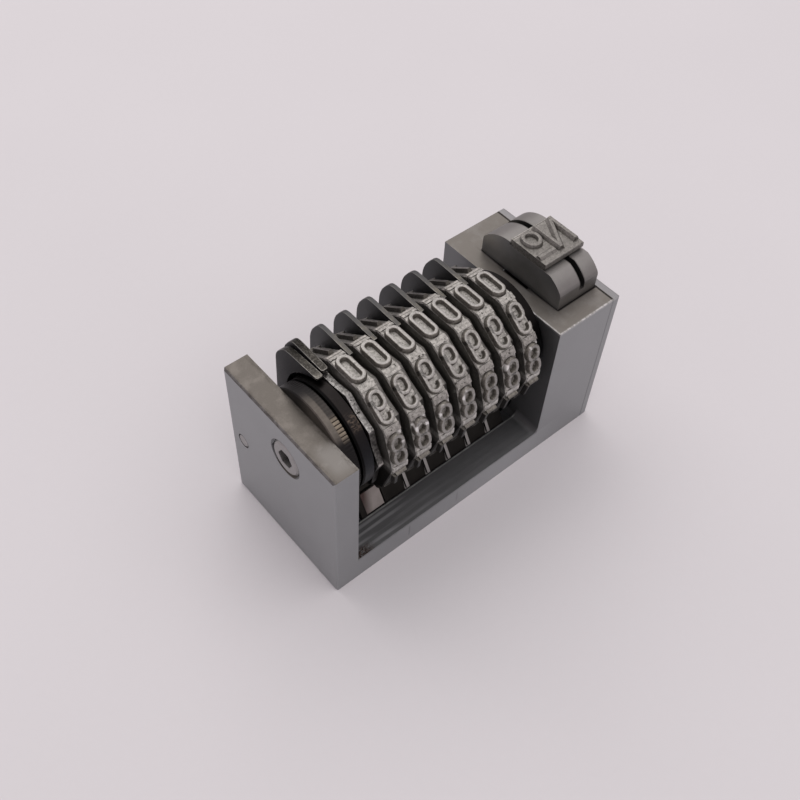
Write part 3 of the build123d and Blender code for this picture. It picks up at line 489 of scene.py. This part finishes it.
def units_steel():
    """Blued steel of the twin units pawl, its top edges rubbed brown and its noses bright."""
    f = Finish("units_pawl_steel")
    grain = f.noise(0.16, 4.0, 0.7)
    cloud = f.noise(2.8, 3.0, 0.55)
    rub = f.noise(0.26, 4.0, 0.75).rising(0.42, 0.62)
    y, z = f.axis("Y"), f.axis("Z")
    up = f.facing("Z").rising(0.1, 0.6) * z.rising(23.5, 25.5)
    nose = y.falling(0.7, 1.4) * z.rising(26.2, 27.4)
    tone = f.shade((0.050, 0.050, 0.053), 0.7 + 0.4 * cloud + 0.25 * grain)
    brown = f.shade((0.088, 0.084, 0.074), 0.20 + 0.8 * rub + 0.3 * cloud)
    brown = f.shade(brown, 1.0 - 0.6 * y.rising(3.0, 6.5))
    tone = f.blend(up, tone, brown)
    tone = f.blend(nose * (0.25 + 0.6 * rub), tone, (0.26, 0.25, 0.22))
    # painted shade in the corners
    corner_shade = f.crevice(1.6).rising(0.3, 0.95)
    tone = f.blend(corner_shade * 0.6, tone, CREVICE_SHADE)
    return f.surface(tone, 0.36 + 0.15 * cloud + 0.08 * grain, grain + 0.8 * up * rub, 0.014)


def comb_steel():
    """Blackened comb with ground fingers."""
    f = Finish("comb_steel")
    grain = f.noise(0.14, 4.0, 0.7)
    cloud = f.noise(1.4, 3.0, 0.6)
    x, z = f.axis("X"), f.axis("Z")
    pitch = (x - FINGER_X).to_and_fro(WHEEL_PITCH / 2)
    flare = 0.16 * z.falling(4.5, 5.6)
    strip = (pitch - flare).falling(0.22, 0.30)
    front = (-f.facing("Y")).rising(0.5, 0.7) * x.rising(FINGER_X + 1.0, FINGER_X + 1.1)
    black = f.shade((0.022, 0.021, 0.019), 0.6 + 0.6 * cloud)
    ground = f.shade((0.30, 0.296, 0.284), 0.6 + 0.5 * cloud + 0.3 * grain)
    tone = f.blend(strip * front, black, ground)
    return f.surface(tone, 0.36 + 0.15 * grain, grain, 0.008)


def ground_steel(name, colour, shine):
    """Turned or ground steel of shafts, screws and springs, with painted shade in corners and round
    the shafts' ends.
    """
    f = Finish(name)
    grain = f.noise(0.12, 4.0, 0.7)
    ring = f.noise(0.25, 2.0, 0.5, (1.0, 0.2, 0.2))
    cloud = f.noise(1.8, 3.0, 0.6)
    tone = f.shade(colour, 0.72 + 0.3 * cloud + 0.2 * grain)
    # painted shade in the corners
    corner_shade = f.crevice(0.5).rising(0.3, 0.95)
    tone = f.blend(corner_shade * 0.7, tone, SHADE_BLACK)
    # painted shade in the gaps round the shafts' ends
    head = f.band(f.from_axis(SHAFT_Y, SHAFT_Z), SHAFT_HEAD_RADIUS + 0.01, 0.08)
    pin = f.band(f.from_axis(PAWL_Y, PAWL_Z), PAWL_SHAFT_RADIUS - 0.01, 0.09)
    tone = f.blend(head.above(pin) * 0.8, tone, (0.015, 0.014, 0.014))
    return f.surface(tone, shine + 0.16 * ring, grain + ring, 0.005)


def leaf_steel():
    """The pinkish leaf on the drive pawl, painted darker towards its upper left corner: painted shade.
    """
    f = Finish("bright_leaf")
    grain = f.noise(0.14, 4.0, 0.7)
    cloud = f.noise(1.2, 3.0, 0.6)
    # a painted gradient of shade, dark at the upper left
    pale = f.axis("X").rising(LEAF_X, LEAF_X + 2.0) + 0.30 - 0.24 * (f.axis("Z") - 5.0)
    red = f.shade((0.063, 0.045, 0.041), 0.7 + 0.6 * cloud)
    rose = f.shade((0.290, 0.270, 0.252), 0.70 + 0.3 * cloud + 0.20 * grain)
    return f.surface(f.blend(pale, red, rose), 0.36 + 0.1 * grain, grain, 0.006)


def plunger_steel():
    """Satin steel of the plunger: darker down its back, with an olive tinge on its left flank."""
    f = Finish("plunger_steel")
    y, z = f.axis("Y"), f.axis("Z")
    grain = f.noise(0.14, 4.0, 0.7)
    cloud = f.noise(2.6, 4.0, 0.6)
    crown = f.shade((0.228, 0.223, 0.214), 0.66 + 0.44 * cloud + 0.16 * grain)
    crown = f.blend(y.rising(2.5, 6.5) * 0.5, crown, (0.130, 0.124, 0.116))
    flank = f.shade((0.235, 0.238, 0.236), 0.7 + 0.5 * cloud + 0.2 * grain)
    olive = y.rising(2.0, 6.5) * z.rising(BODY_TOP + 1.0, BODY_TOP + 3.0)
    flank = f.blend(olive * 0.7, flank, (0.300, 0.285, 0.245))
    left = (-f.facing("X")).rising(0.5, 0.85)
    tone = f.blend(left, crown, flank)
    # the saw slot and the flank sunk in the block are painted black: painted shade
    saw_slot_shade = f.band(f.axis("X"), SAW_X, 0.50) * z.rising(BODY_TOP + 1.2, BODY_TOP + 1.5)
    sunk_shade = z.falling(BODY_TOP - 0.15, BODY_TOP + 0.05)
    tone = f.blend(saw_slot_shade.above(sunk_shade), tone, (0.008, 0.008, 0.008))
    # painted shade in the corners
    corner_shade = f.crevice(0.8).rising(0.25, 0.9)
    tone = f.blend(corner_shade * 0.7, tone, (0.014, 0.013, 0.012))
    return f.surface(tone, 0.40 + 0.12 * cloud + 0.06 * grain, grain, 0.008)


BLASTED = blasted_steel()
FIELD = type_metal("wheel_field", (0.318, 0.311, 0.290), 0.40, speck=0.9, corner_shading=0.80)
FIGURE = type_metal("figure_faces", (0.362, 0.355, 0.336), 0.30, speck=0.30, corner_shading=0.4)
# the figures' shoulders are a darker copy of the type metal: painted shade on their walls
SHADED_SHOULDER = type_metal("figure_shoulders_shaded", (0.225, 0.214, 0.192), 0.42, speck=0.5, corner_shading=0.8)
RIM_SIDE = type_metal("wheel_sides", (0.260, 0.252, 0.235), 0.40, speck=0.3, corner_shading=0.2)
RATCHET_BRIGHT = type_metal(
    "bright_ratchet", (0.220, 0.217, 0.208), 0.26, speck=1.6, corner_shading=0.8, shade_below=25.0,
)
RATCHET = dark_steel(
    "ratchet_steel", (0.150, 0.147, 0.140), 0.30, worn=(0.30, 0.29, 0.27), worn_from=24.0,
)
BLUED = dark_steel(
    "blued_steel", (0.062, 0.063, 0.065), 0.34,
    worn=(0.128, 0.121, 0.102), worn_from=26.0, ahead_of=6.0,
)
EDGE = dark_steel(
    "blade_edges", (0.085, 0.084, 0.082), 0.26,
    worn=(0.340, 0.325, 0.296), worn_from=25.0, ahead_of=5.6,
)
UNITS = units_steel()
OILED = oiled_steel()
COMB = comb_steel()
KNURLED = knurled_steel()
SCREW = ground_steel("screw_steel", (0.330, 0.322, 0.318), 0.34)
SPRING = ground_steel("spring_steel", (0.150, 0.145, 0.135), 0.28)
LEAF = leaf_steel()
PLUNGER = plunger_steel()
SIGN = type_metal("sign_metal", (0.240, 0.233, 0.216), 0.40, speck=0.4, corner_shading=0.9)
WHEEL_METALS = [FIELD, FIGURE, SHADED_SHOULDER, RIM_SIDE]


# ------------------------------------------------------------- mesh workshop
def finish_piece(name, bm, body, materials, node, smooth_below=32.0):
    """Makes a piece from its mesh in mm, sets it on its body and lets it stand for a CAD node."""
    bmesh.ops.scale(bm, verts=bm.verts, vec=(MM, MM, MM))
    mesh = bpy.data.meshes.new(name)
    bm.to_mesh(mesh)
    bm.free()
    for material in materials:
        mesh.materials.append(material)
    mesh.shade_smooth()
    mesh.set_sharp_from_angle(angle=math.radians(smooth_below))
    piece = bpy.data.objects.new(name, mesh)
    bpy.context.scene.collection.objects.link(piece)
    level = piece.modifiers.new("flat_faces_stay_flat", "WEIGHTED_NORMAL")
    level.keep_sharp = True
    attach(piece, body)
    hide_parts(node)


def merged_copy(node):
    """The CAD node's mesh in mm, its triangles merged into clean flat faces."""
    bm = bmesh.new()
    bm.from_mesh(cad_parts[node].data)
    bmesh.ops.scale(bm, verts=bm.verts, vec=(1 / MM, 1 / MM, 1 / MM))
    bmesh.ops.remove_doubles(bm, verts=bm.verts, dist=0.0005)
    bmesh.ops.dissolve_limit(bm, angle_limit=math.radians(0.6), verts=bm.verts, edges=bm.edges)
    return bm


def round_edges(bm, edges, width, segments=2, clamped=True):
    """Rounds the given edges by a width in mm, and hands back the new faces."""
    rounded = bmesh.ops.bevel(
        bm, geom=edges, offset=width, offset_type="OFFSET", segments=segments,
        profile=0.5, affect="EDGES", material=-1, clamp_overlap=clamped,
    )
    return rounded["faces"]


def span(edge, axis):
    """How far an edge reaches along the axis 0, 1 or 2, in mm."""
    return abs(edge.verts[0].co[axis] - edge.verts[1].co[axis])


def break_edges(bm, width, shortest, clamped=True):
    """Rounds the sharp edges that are longer than the shortest, and hands back the new faces."""
    edges = [
        e for e in bm.edges
        if len(e.link_faces) == 2 and e.calc_length() > shortest
        and e.calc_face_angle(0.0) > math.radians(30.0)
    ]
    return round_edges(bm, edges, width, 2, clamped)


def round_noses(bm, before, width):
    """Rounds the upright corners of a piece's front end, seen from above."""
    edges = [
        e for e in bm.edges
        if max(v.co.y for v in e.verts) < before and e.verts[0].co.z > BODY_TOP - 1.0
        and span(e, 2) > 0.2 and span(e, 0) < 0.01
    ]
    round_edges(bm, edges, width, 4)


def round_shoulder(bm):
    """Rounds the corner where a blade's curved top meets its upright back."""
    def reach(edge):
        vert = edge.verts[0]
        return math.hypot(vert.co.y - SHOULDER_Y, vert.co.z - SHOULDER_Z)

    # the top's last short facets go first, so that the rounding has room
    near = [e for e in bm.edges if span(e, 0) > 0.3 and 0.05 < reach(e) < 1.1]
    bmesh.ops.dissolve_edges(bm, edges=near, use_verts=True)
    corner = [e for e in bm.edges if span(e, 0) > 0.3 and reach(e) <= 0.05]
    round_edges(bm, corner, 0.8, 5)


def sink_back(bm):
    """Lets the top of the left units blade run down towards its back."""
    slope, level_until, blade_reach = 0.105, 1.0, 2.8
    for vert in bm.verts:
        share = min(1.0, max(0.0, (vert.co.z - SHOULDER_Z) / blade_reach))
        vert.co.z -= slope * max(0.0, vert.co.y - level_until) * share


def dressed(node, body, material, slot, width, shortest, nose=None, worn=None):
    """A CAD node with broken edges, standing in for the plain one; worn is the edges' metal."""
    bm = merged_copy(node)
    blade = slot == "blued_steel"
    if nose is not None:
        round_noses(bm, nose, 0.30)
    if blade:
        round_shoulder(bm)
    if node == "units_pawl_left":
        sink_back(bm)
    # a blade's shortest facets would hold the rounding back to nothing
    for face in break_edges(bm, width, shortest, clamped=not blade):
        face.material_index = 1 if worn else 0
    metals = [material, worn] if worn else [material]
    finish_piece(node + "_finished", bm, body, metals, node)


def plunger():
    """The plunger, the creases between its crown and its sides rounded first."""
    bm = merged_copy("plunger")
    creases = [
        e for e in bm.edges
        if max(abs(v.co.z - CREASE_Z) for v in e.verts) < 0.06
        and e.calc_length() > 1.0 and span(e, 1) < 0.01
    ]
    round_edges(bm, creases, 0.35, 4)
    break_edges(bm, 0.16, 0.6)
    finish_piece("plunger_finished", bm, "plunger", [PLUNGER], "plunger")


def kept(node, material):
    """A CAD node that keeps its own shape and gets its metal."""
    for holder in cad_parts[node].material_slots:
        holder.material = material


# ----------------------------------------------------------------- type figures
HALF_WIDTH = (DIGIT_WIDTH - STROKE) / 2
HALF_HEIGHT = (DIGIT_HEIGHT - STROKE) / 2
BOWL = HALF_HEIGHT - HALF_WIDTH
SMALL_BOWL = 0.92 * HALF_WIDTH
WAIST = HALF_HEIGHT - 2 * SMALL_BOWL
SHORT_RING = 0.54
TAIL_GAP = 0.25
FOOT_SINK = 0.12


def stroke_section(bm, relief, shoulder):
    """A stroke's cross-section in the XZ plane: a flat face, rounded rims and sloped shoulders."""
    half = STROKE / 2
    outline = [
        (-half - shoulder, -FOOT_SINK), (-half - shoulder, 0.0), (-half - 0.05, relief - 0.08),
        (-half - 0.015, relief - 0.02), (-half + 0.03, relief), (half - 0.03, relief),
        (half + 0.015, relief - 0.02), (half + 0.05, relief - 0.08), (half + shoulder, 0.0),
        (half + shoulder, -FOOT_SINK),
    ]
    verts = [bm.verts.new((x, 0.0, z)) for x, z in outline]
    return bm.faces.new(verts)


def straight_stroke(bm, x1, y1, x2, y2, relief=RELIEF, shoulder=SHOULDER_REACH):
    """A straight stroke from one point of the figure to another."""
    face = stroke_section(bm, relief, shoulder)
    run = Vector((x2 - x1, y2 - y1, 0.0))
    drawn = bmesh.ops.extrude_face_region(bm, geom=[face], use_keep_orig=True)
    moved = [g for g in drawn["geom"] if isinstance(g, bmesh.types.BMVert)]
    bmesh.ops.translate(bm, verts=moved, vec=(0.0, run.length, 0.0))
    turn = Matrix.Rotation(math.atan2(run.y, run.x) - math.pi / 2, 3, "Z")
    stroke = list(set(moved) | set(face.verts))
    bmesh.ops.rotate(bm, verts=stroke, cent=(0, 0, 0), matrix=turn)
    bmesh.ops.translate(bm, verts=stroke, vec=(x1, y1, 0.0))
    return stroke


def curved_stroke(bm, x, y, radius, start, sweep, relief=RELIEF, shoulder=SHOULDER_REACH):
    """A curved stroke about a point, from a start angle through a sweep in degrees."""
    face = stroke_section(bm, relief, shoulder)
    bmesh.ops.translate(bm, verts=face.verts, vec=(radius, 0.0, 0.0))
    section = list(face.verts)
    bmesh.ops.rotate(
        bm, verts=section, cent=(0, 0, 0), matrix=Matrix.Rotation(math.radians(start), 3, "Z"),
    )
    steps = max(4, round(abs(sweep) / 12))
    full = abs(sweep) == 360
    before = set(bm.verts)
    geom = list(face.edges) if full else [face]
    if full:
        bmesh.ops.delete(bm, geom=[face], context="FACES_ONLY")
    bmesh.ops.spin(
        bm, geom=geom, cent=(0, 0, 0), axis=(0, 0, 1), dvec=(0, 0, 0),
        angle=math.radians(sweep), steps=steps, use_merge=full, use_duplicate=False,
    )
    stroke = list((set(bm.verts) - before) | set(v for v in section if v.is_valid))
    bmesh.ops.translate(bm, verts=stroke, vec=(x, y, 0.0))
    return stroke


def ring(bm, y_top, y_bottom, radius):
    """A closed ring, long where its two centres differ."""
    if y_top == y_bottom:
        curved_stroke(bm, 0, y_top, radius, 0, 360)
        return
    curved_stroke(bm, 0, y_top, radius, 0, 180)
    curved_stroke(bm, 0, y_bottom, radius, 180, 180)
    straight_stroke(bm, radius, y_bottom, radius, y_top)
    straight_stroke(bm, -radius, y_top, -radius, y_bottom)


def draw_figure(bm, figure):
    """One figure, reading the right way round; the wheel mirrors it."""
    w, h = HALF_WIDTH, HALF_HEIGHT
    if figure == 0:
        ring(bm, BOWL, -BOWL, w)
    elif figure == 1:
        straight_stroke(bm, 0, -h, 0, h)
        straight_stroke(bm, 0, h, -0.7 * w, h - 0.7 * w)
    elif figure == 2:
        curved_stroke(bm, 0, BOWL, w, 180, -210)
        straight_stroke(bm, 0.87 * w, BOWL - w / 2, -w, -h)
        straight_stroke(bm, -w, -h, w, -h)
    elif figure == 3:
        curved_stroke(bm, 0, h - SMALL_BOWL, SMALL_BOWL, 160, -250)
        curved_stroke(bm, 0, WAIST - w, w, 90, -90)
        straight_stroke(bm, w, WAIST - w, w, -BOWL)
        curved_stroke(bm, 0, -BOWL, w, 0, -160)
    elif figure == 4:
        straight_stroke(bm, 0.2 * w, h, -w, -0.35 * h)
        straight_stroke(bm, -w, -0.35 * h, w, -0.35 * h)
        straight_stroke(bm, 0.4 * w, 0.3 * h, 0.4 * w, -h)
    elif figure == 5:
        straight_stroke(bm, w, h, -0.85 * w, h)
        straight_stroke(bm, -0.85 * w, h, -0.85 * w, 0.15 * h)
        curved_stroke(bm, 0, -0.1 * h, w, 150, -150)
        straight_stroke(bm, w, -0.1 * h, w, -BOWL)
        curved_stroke(bm, 0, -BOWL, w, 0, -160)
    elif figure == 6:
        ring(bm, SHORT_RING - BOWL, -BOWL, w)
        straight_stroke(bm, -w, BOWL, -w, -BOWL)
        curved_stroke(bm, 0, BOWL, w, 180, -180)
        straight_stroke(bm, w, BOWL, w, BOWL - TAIL_GAP)
    elif figure == 7:
        straight_stroke(bm, -w, h, w, h)
        straight_stroke(bm, w, h, -0.3 * w, -h)
    elif figure == 8:
        ring(bm, BOWL, w, w)
        ring(bm, -w, -BOWL, w)
    elif figure == 9:
        ring(bm, BOWL, BOWL - SHORT_RING, w)
        straight_stroke(bm, w, BOWL, w, -BOWL)
        curved_stroke(bm, 0, -BOWL, w, 0, -180)
        straight_stroke(bm, -w, -BOWL, -w, TAIL_GAP - BOWL)


def facet_matrix(facet):
    """Takes a flat figure to a facet of the rim, counted from the top towards the back."""
    angle = math.radians(90 + FACET_STEP * facet)
    out = Vector((0.0, -math.cos(angle), math.sin(angle)))
    up = Vector((0.0, math.sin(angle), math.cos(angle)))
    along = Vector((1.0, 0.0, 0.0))
    turn = Matrix((along, up, out)).transposed().to_4x4()
    return Matrix.Translation(Vector((0.0, SHAFT_Y, SHAFT_Z)) + out * FACET_RADIUS) @ turn


def figure_mesh(figure, chance):
    """A figure's mesh, mirrored as type is, with the small unevenness of cast type."""
    bm = bmesh.new()
    draw_figure(bm, figure)
    bmesh.ops.scale(bm, verts=bm.verts, vec=(-1.0, 1.0, 1.0))
    bmesh.ops.recalc_face_normals(bm, faces=bm.faces)
    face_metal, shaded_shoulder_metal = WHEEL_METALS.index(FIGURE), WHEEL_METALS.index(SHADED_SHOULDER)
    # faces other than the flat tops take the darker copy: painted shade
    for face in bm.faces:
        prints = face.normal.z > 0.95 and face.calc_center_median().z > RELIEF - 0.16
        face.material_index = face_metal if prints else shaded_shoulder_metal
    lean = chance.uniform(-0.012, 0.012)
    for vert in bm.verts:
        vert.co.x += lean * vert.co.z
    mesh = bpy.data.meshes.new("figure")
    bm.to_mesh(mesh)
    bm.free()
    return mesh


def turned(bm, profile, steps, closed=True, start=0.0):
    """Spins a profile of x and radius round the X axis in steps, and hands back its points."""
    before = set(bm.verts)
    verts = [bm.verts.new((x, 0.0, r)) for x, r in profile]
    after = verts[1:] + verts[:1] if closed else verts[1:]
    edges = [bm.edges.new(pair) for pair in zip(verts, after)]
    bmesh.ops.rotate(bm, verts=verts, cent=(0, 0, 0), matrix=Matrix.Rotation(start, 3, "X"))
    bmesh.ops.spin(
        bm, geom=edges, cent=(0, 0, 0), axis=(1, 0, 0), dvec=(0, 0, 0),
        angle=2 * math.pi, steps=steps, use_merge=True, use_duplicate=False,
    )
    return [v for v in bm.verts if v not in before]


def rim_mesh():
    """The ten-sided rim with chamfered sides, and the round boss beside it."""
    bm = bmesh.new()
    outer = FACET_RADIUS / math.cos(math.pi / FACETS)
    inner = BOSS_RADIUS - 0.4
    half = RIM_WIDTH / 2
    inset, drop = 0.12, 0.16
    boss_left = -half - BOSS_REACH
    rim = [
        (-half, inner), (-half, outer - drop), (-half + inset, outer),
        (half - inset, outer), (half, outer - drop), (half, inner),
    ]
    boss = [
        (boss_left, SHAFT_BORE), (boss_left, BOSS_RADIUS - 0.1), (boss_left + 0.1, BOSS_RADIUS),
        (half, BOSS_RADIUS), (half, SHAFT_BORE),
    ]
    made = turned(bm, rim, FACETS, closed=False, start=math.pi / FACETS)
    bmesh.ops.translate(bm, verts=made, vec=(0, SHAFT_Y, SHAFT_Z))
    made = turned(bm, boss, 40)
    bmesh.ops.translate(bm, verts=made, vec=(0, SHAFT_Y, SHAFT_Z))
    bmesh.ops.recalc_face_normals(bm, faces=bm.faces)
    field_metal, side_metal = WHEEL_METALS.index(FIELD), WHEEL_METALS.index(RIM_SIDE)
    for face in bm.faces:
        face.material_index = side_metal if abs(face.normal.x) > 0.9 else field_metal
    return bm


def add_lands(bm):
    """Low raised lands either side of each corner of the rim, with a fine groove between."""
    corner = FACET_RADIUS * math.tan(math.pi / FACETS)
    for facet in range(FACETS):
        for side in (-1, 1):
            made = bmesh.ops.create_cube(bm, size=1.0)["verts"]
            bmesh.ops.scale(bm, verts=made, vec=(RIM_WIDTH - 0.10, LAND_LENGTH, LAND_HEIGHT))
            edges = list({e for v in made for e in v.link_edges})
            faces = round_edges(bm, edges, 0.04, clamped=False)
            land = list({v for f in faces for v in f.verts} | {v for v in made if v.is_valid})
            lean = Matrix.Rotation(math.radians(-LAND_LEAN * side), 3, "X")
            bmesh.ops.rotate(bm, verts=land, cent=(0, 0, 0), matrix=lean)
            bmesh.ops.translate(bm, verts=land, vec=(0.0, side * (corner - 0.29), -0.05))
            bmesh.ops.transform(bm, verts=land, matrix=facet_matrix(facet))


def number_wheel(place):
    """One type wheel: rim, lands and ten figures, 0 on top and rising to the back."""
    chance = random.Random(40 + place)
    bm = rim_mesh()
    add_lands(bm)
    for figure in range(FACETS):
        mesh = figure_mesh(figure, chance)
        mesh.transform(facet_matrix(figure))
        bm.from_mesh(mesh)
        bpy.data.meshes.remove(mesh)
    bmesh.ops.translate(bm, verts=bm.verts, vec=(FIRST_WHEEL_X + place * WHEEL_PITCH, 0, 0))
    name = f"number_wheel_{place + 1}"
    finish_piece(
        "type_" + name, bm, f"wheel_{place + 1}", WHEEL_METALS, name,
        smooth_below=35.0,
    )


# ----------------------------------------------------------- knurled collar
def knurled_collar():
    """The cup-shaped collar beside the left wall, fine grooves round its right half."""
    bm = bmesh.new()
    left, right = WALL_INNER, WALL_INNER + COLLAR_WIDTH
    cup_floor, cup_radius = left + 0.8, 6.9
    profile = [
        (left, SHAFT_BORE), (left, 7.66), (left + 0.14, COLLAR_RADIUS),
        (KNURL_X, COLLAR_RADIUS), (KNURL_X + 0.15, COLLAR_RADIUS),
        (right - 0.16, COLLAR_RADIUS), (right, 7.64), (right, cup_radius),
        (cup_floor, cup_radius), (cup_floor, SHAFT_BORE),
    ]
    # every fourth line of points round the knurl sinks to make a groove
    steps = 4 * KNURL_GROOVES
    for vert in turned(bm, profile, steps):
        out = Vector((0.0, vert.co.y, vert.co.z))
        turn = round(math.atan2(out.z, out.y) / (2 * math.pi) * steps)
        knurled = vert.co.x > KNURL_X + 0.05 and out.length > COLLAR_RADIUS - 0.02
        if knurled and turn % 4 == 0:
            vert.co -= out.normalized() * KNURL_DEPTH
    bmesh.ops.translate(bm, verts=bm.verts, vec=(0, SHAFT_Y, SHAFT_Z))
    bmesh.ops.recalc_face_normals(bm, faces=bm.faces)
    finish_piece(
        "knurled_collar_finished", bm, "body", [KNURLED], "knurled_collar",
    )


# ------------------------------------------------------------------ sign plate
def block(bm, low, high):
    """A plain block between two corners; hands back its edges."""
    made = bmesh.ops.create_cube(bm, size=1.0)["verts"]
    size = [b - a for a, b in zip(low, high)]
    middle = [(a + b) / 2 for a, b in zip(low, high)]
    bmesh.ops.scale(bm, verts=made, vec=size)
    bmesh.ops.translate(bm, verts=made, vec=middle)
    return {e for v in made for e in v.link_edges}


def sign_plate():
    """The plate of the number sign: the small raised o over its bar, and the mirrored N."""
    bm = bmesh.new()
    left, right = PLUNGER_X, PLUNGER_X + SIGN_LENGTH
    front, back = SIGN_FRONT, SIGN_FRONT + SIGN_DEPTH
    block(bm, (left + 0.01, front + 0.4, SIGN_SEAT), (right - 0.01, back - 0.4, SIGN_TOP - 0.3))
    plate = block(bm, (left, front, SIGN_TOP - 0.75), (right, back, SIGN_TOP))
    rim = [e for e in plate if min(v.co.z for v in e.verts) > SIGN_TOP - 0.1]
    round_edges(bm, rim, 0.10, clamped=False)
    small_o = curved_stroke(bm, 0, 0, 1.06, 0, 360, 0.50, 0.17)
    bmesh.ops.scale(bm, verts=small_o, vec=(1.0, 1.14, 1.0))
    bmesh.ops.translate(bm, verts=small_o, vec=(left + 1.80, back - 1.90, 0))
    bar_y = front + 1.40
    bar = straight_stroke(bm, left + 0.12, bar_y, left + 3.00, bar_y, 0.34, 0.30)
    near, far = left + 3.80, right - 0.55
    foot, head = front + 0.95, back - 0.35
    letter = straight_stroke(bm, near, foot, near, head, 0.55, 0.34)
    letter += straight_stroke(bm, far, foot, far, head, 0.55, 0.34)
    letter += straight_stroke(bm, near, foot + 0.1, far, head - 0.1, 0.50, 0.34)
    strokes = list(set(small_o + bar + letter))
    bmesh.ops.translate(bm, verts=strokes, vec=(0, 0, SIGN_TOP))
    bmesh.ops.recalc_face_normals(bm, faces=bm.faces)
    finish_piece("sign_plate_finished", bm, "plunger", [SIGN], "sign_plate")


# ---------------------------------------------------------------------- pieces
dressed("frame", "body", BLASTED, "body_steel", width=0.18, shortest=1.2)
dressed("end_cover", "body", BLASTED, "body_steel", width=0.10, shortest=1.2)
plunger()
sign_plate()
dressed("drive_pawl", "drive_pawl", COMB, "dark_steel", width=0.04, shortest=0.45)
dressed("pawl_leaf", "drive_pawl", LEAF, "bright_leaf", width=0.03, shortest=0.5)
for side, nose in (("left", 0.45), ("right", 1.05)):
    dressed(f"swing_cheek_{side}", "swing", OILED, "dark_steel", width=0.10, shortest=1.0)
    dressed(
        f"units_pawl_{side}", "units_pawl", UNITS, "blued_steel",
        width=0.08, shortest=0.04, nose=nose, worn=EDGE,
    )
for place in range(WHEEL_COUNT):
    number_wheel(place)
    metal = RATCHET if place else RATCHET_BRIGHT
    dressed(
        f"ratchet_{place + 1}", f"wheel_{place + 1}", metal, "ratchet_steel",
        width=0.07, shortest=0.5,
    )
    if place:
        dressed(
            f"blade_pawl_{place + 1}", f"pawl_{place + 1}", BLUED, "blued_steel",
            width=0.07, shortest=0.04, worn=EDGE,
        )
    kept(f"pawl_spring_{place + 1}", SPRING)
knurled_collar()
for node in ("cover_screws", "wheel_shaft", "pawl_shaft", "plunger_stop_screw"):
    kept(node, SCREW)
for node in ("thrust_washer", "swing_pin", "swing_rod", "swing_tie_rod"):
    kept(node, SCREW)
for node in ("return_spring", "plunger_spring", "drive_pawl_spring"):
    kept(node, SPRING)


# ------------------------------------------------------- floor, light and camera
def pale_board():
    """The pale board that the machine stands on."""
    f = Finish("pale_board", metallic=0.0)
    cloud = f.noise(60.0, 2.0, 0.5)
    paper = f.noise(1.2, 2.0, 0.5)
    tone = f.shade((0.606, 0.562, 0.578), 0.96 + 0.06 * cloud + 0.015 * paper)
    return f.surface(tone, 0.75, paper, 0.01)


def floor():
    """The board itself, far larger than what the camera sees of it."""
    bm = bmesh.new()
    bmesh.ops.create_grid(bm, x_segments=8, y_segments=8, size=900.0)
    bmesh.ops.scale(bm, verts=bm.verts, vec=(MM, MM, MM))
    mesh = bpy.data.meshes.new("board")
    bm.to_mesh(mesh)
    bm.free()
    mesh.materials.append(pale_board())
    board = bpy.data.objects.new("board", mesh)
    bpy.context.scene.collection.objects.link(board)


def lamp(name, place, aim, size, watts, colour):
    """A soft oblong lamp at a place in mm, pointing at an aim."""
    light = bpy.data.lights.new(name, "AREA")
    light.shape = "RECTANGLE"
    light.size, light.size_y = size[0] * MM, size[1] * MM
    light.energy = watts
    light.color = colour
    holder = bpy.data.objects.new(name, light)
    holder.location = Vector(place) * MM
    holder.rotation_euler = (Vector(aim) - Vector(place)).to_track_quat("-Z", "Y").to_euler()
    bpy.context.scene.collection.objects.link(holder)


def room(diffuse, seen):
    """A pale room: plain light on the object, and a pale background for the eye and for metal."""
    world = bpy.data.worlds.new("pale_room")
    bpy.context.scene.world = world
    world.use_nodes = True
    tree = Nodes(world.node_tree)
    tree.nodes.clear()
    eye_ray = tree.node("ShaderNodeLightPath", output="Is Camera Ray")
    gloss_ray = tree.node("ShaderNodeLightPath", output="Is Glossy Ray")
    plain = tree.node(
        "ShaderNodeBackground", inputs={"Color": (0.96, 0.97, 1.0), "Strength": diffuse},
    )
    pale = tree.node(
        "ShaderNodeBackground", inputs={"Color": (0.69, 0.62, 0.645), "Strength": seen},
    )
    mix = tree.node("ShaderNodeMixShader", inputs={0: eye_ray.above(gloss_ray), 1: plain, 2: pale})
    out = tree.nodes.new("ShaderNodeOutputWorld")
    tree.feed(out.inputs["Surface"], mix)


def camera(place, aim, roll, lens):
    """A camera at a place in mm, looking at an aim, turned about its own axis by roll degrees."""
    eye = bpy.data.cameras.new("camera")
    eye.lens = lens
    eye.sensor_width = 36.0
    eye.clip_start = 0.005
    eye.clip_end = 20.0
    holder = bpy.data.objects.new("camera", eye)
    look = (Vector(aim) - Vector(place)).to_track_quat("-Z", "Y").to_matrix()
    turn = look @ Matrix.Rotation(math.radians(roll), 3, "Z")
    holder.matrix_world = Matrix.Translation(Vector(place) * MM) @ turn.to_4x4()
    bpy.context.scene.collection.objects.link(holder)
    bpy.context.scene.camera = holder


floor()
lamp(
    "high_window", place=(130, 560, 640), aim=(0, 0, 0), size=(1050, 740),
    watts=3.35, colour=(1.0, 0.985, 0.965),
)
lamp(
    "ceiling", place=(150, -350, 850), aim=(0, 0, 0), size=(1300, 1000),
    watts=3.9, colour=(1.0, 0.99, 0.975),
)
room(diffuse=0.62, seen=1.0)
camera(place=(-60.27, -59.84, 117.62), aim=(-3.37, 1.22, 12.09), roll=3.43, lens=44.47)

scene = bpy.context.scene
scene.view_settings.view_transform = "Standard"
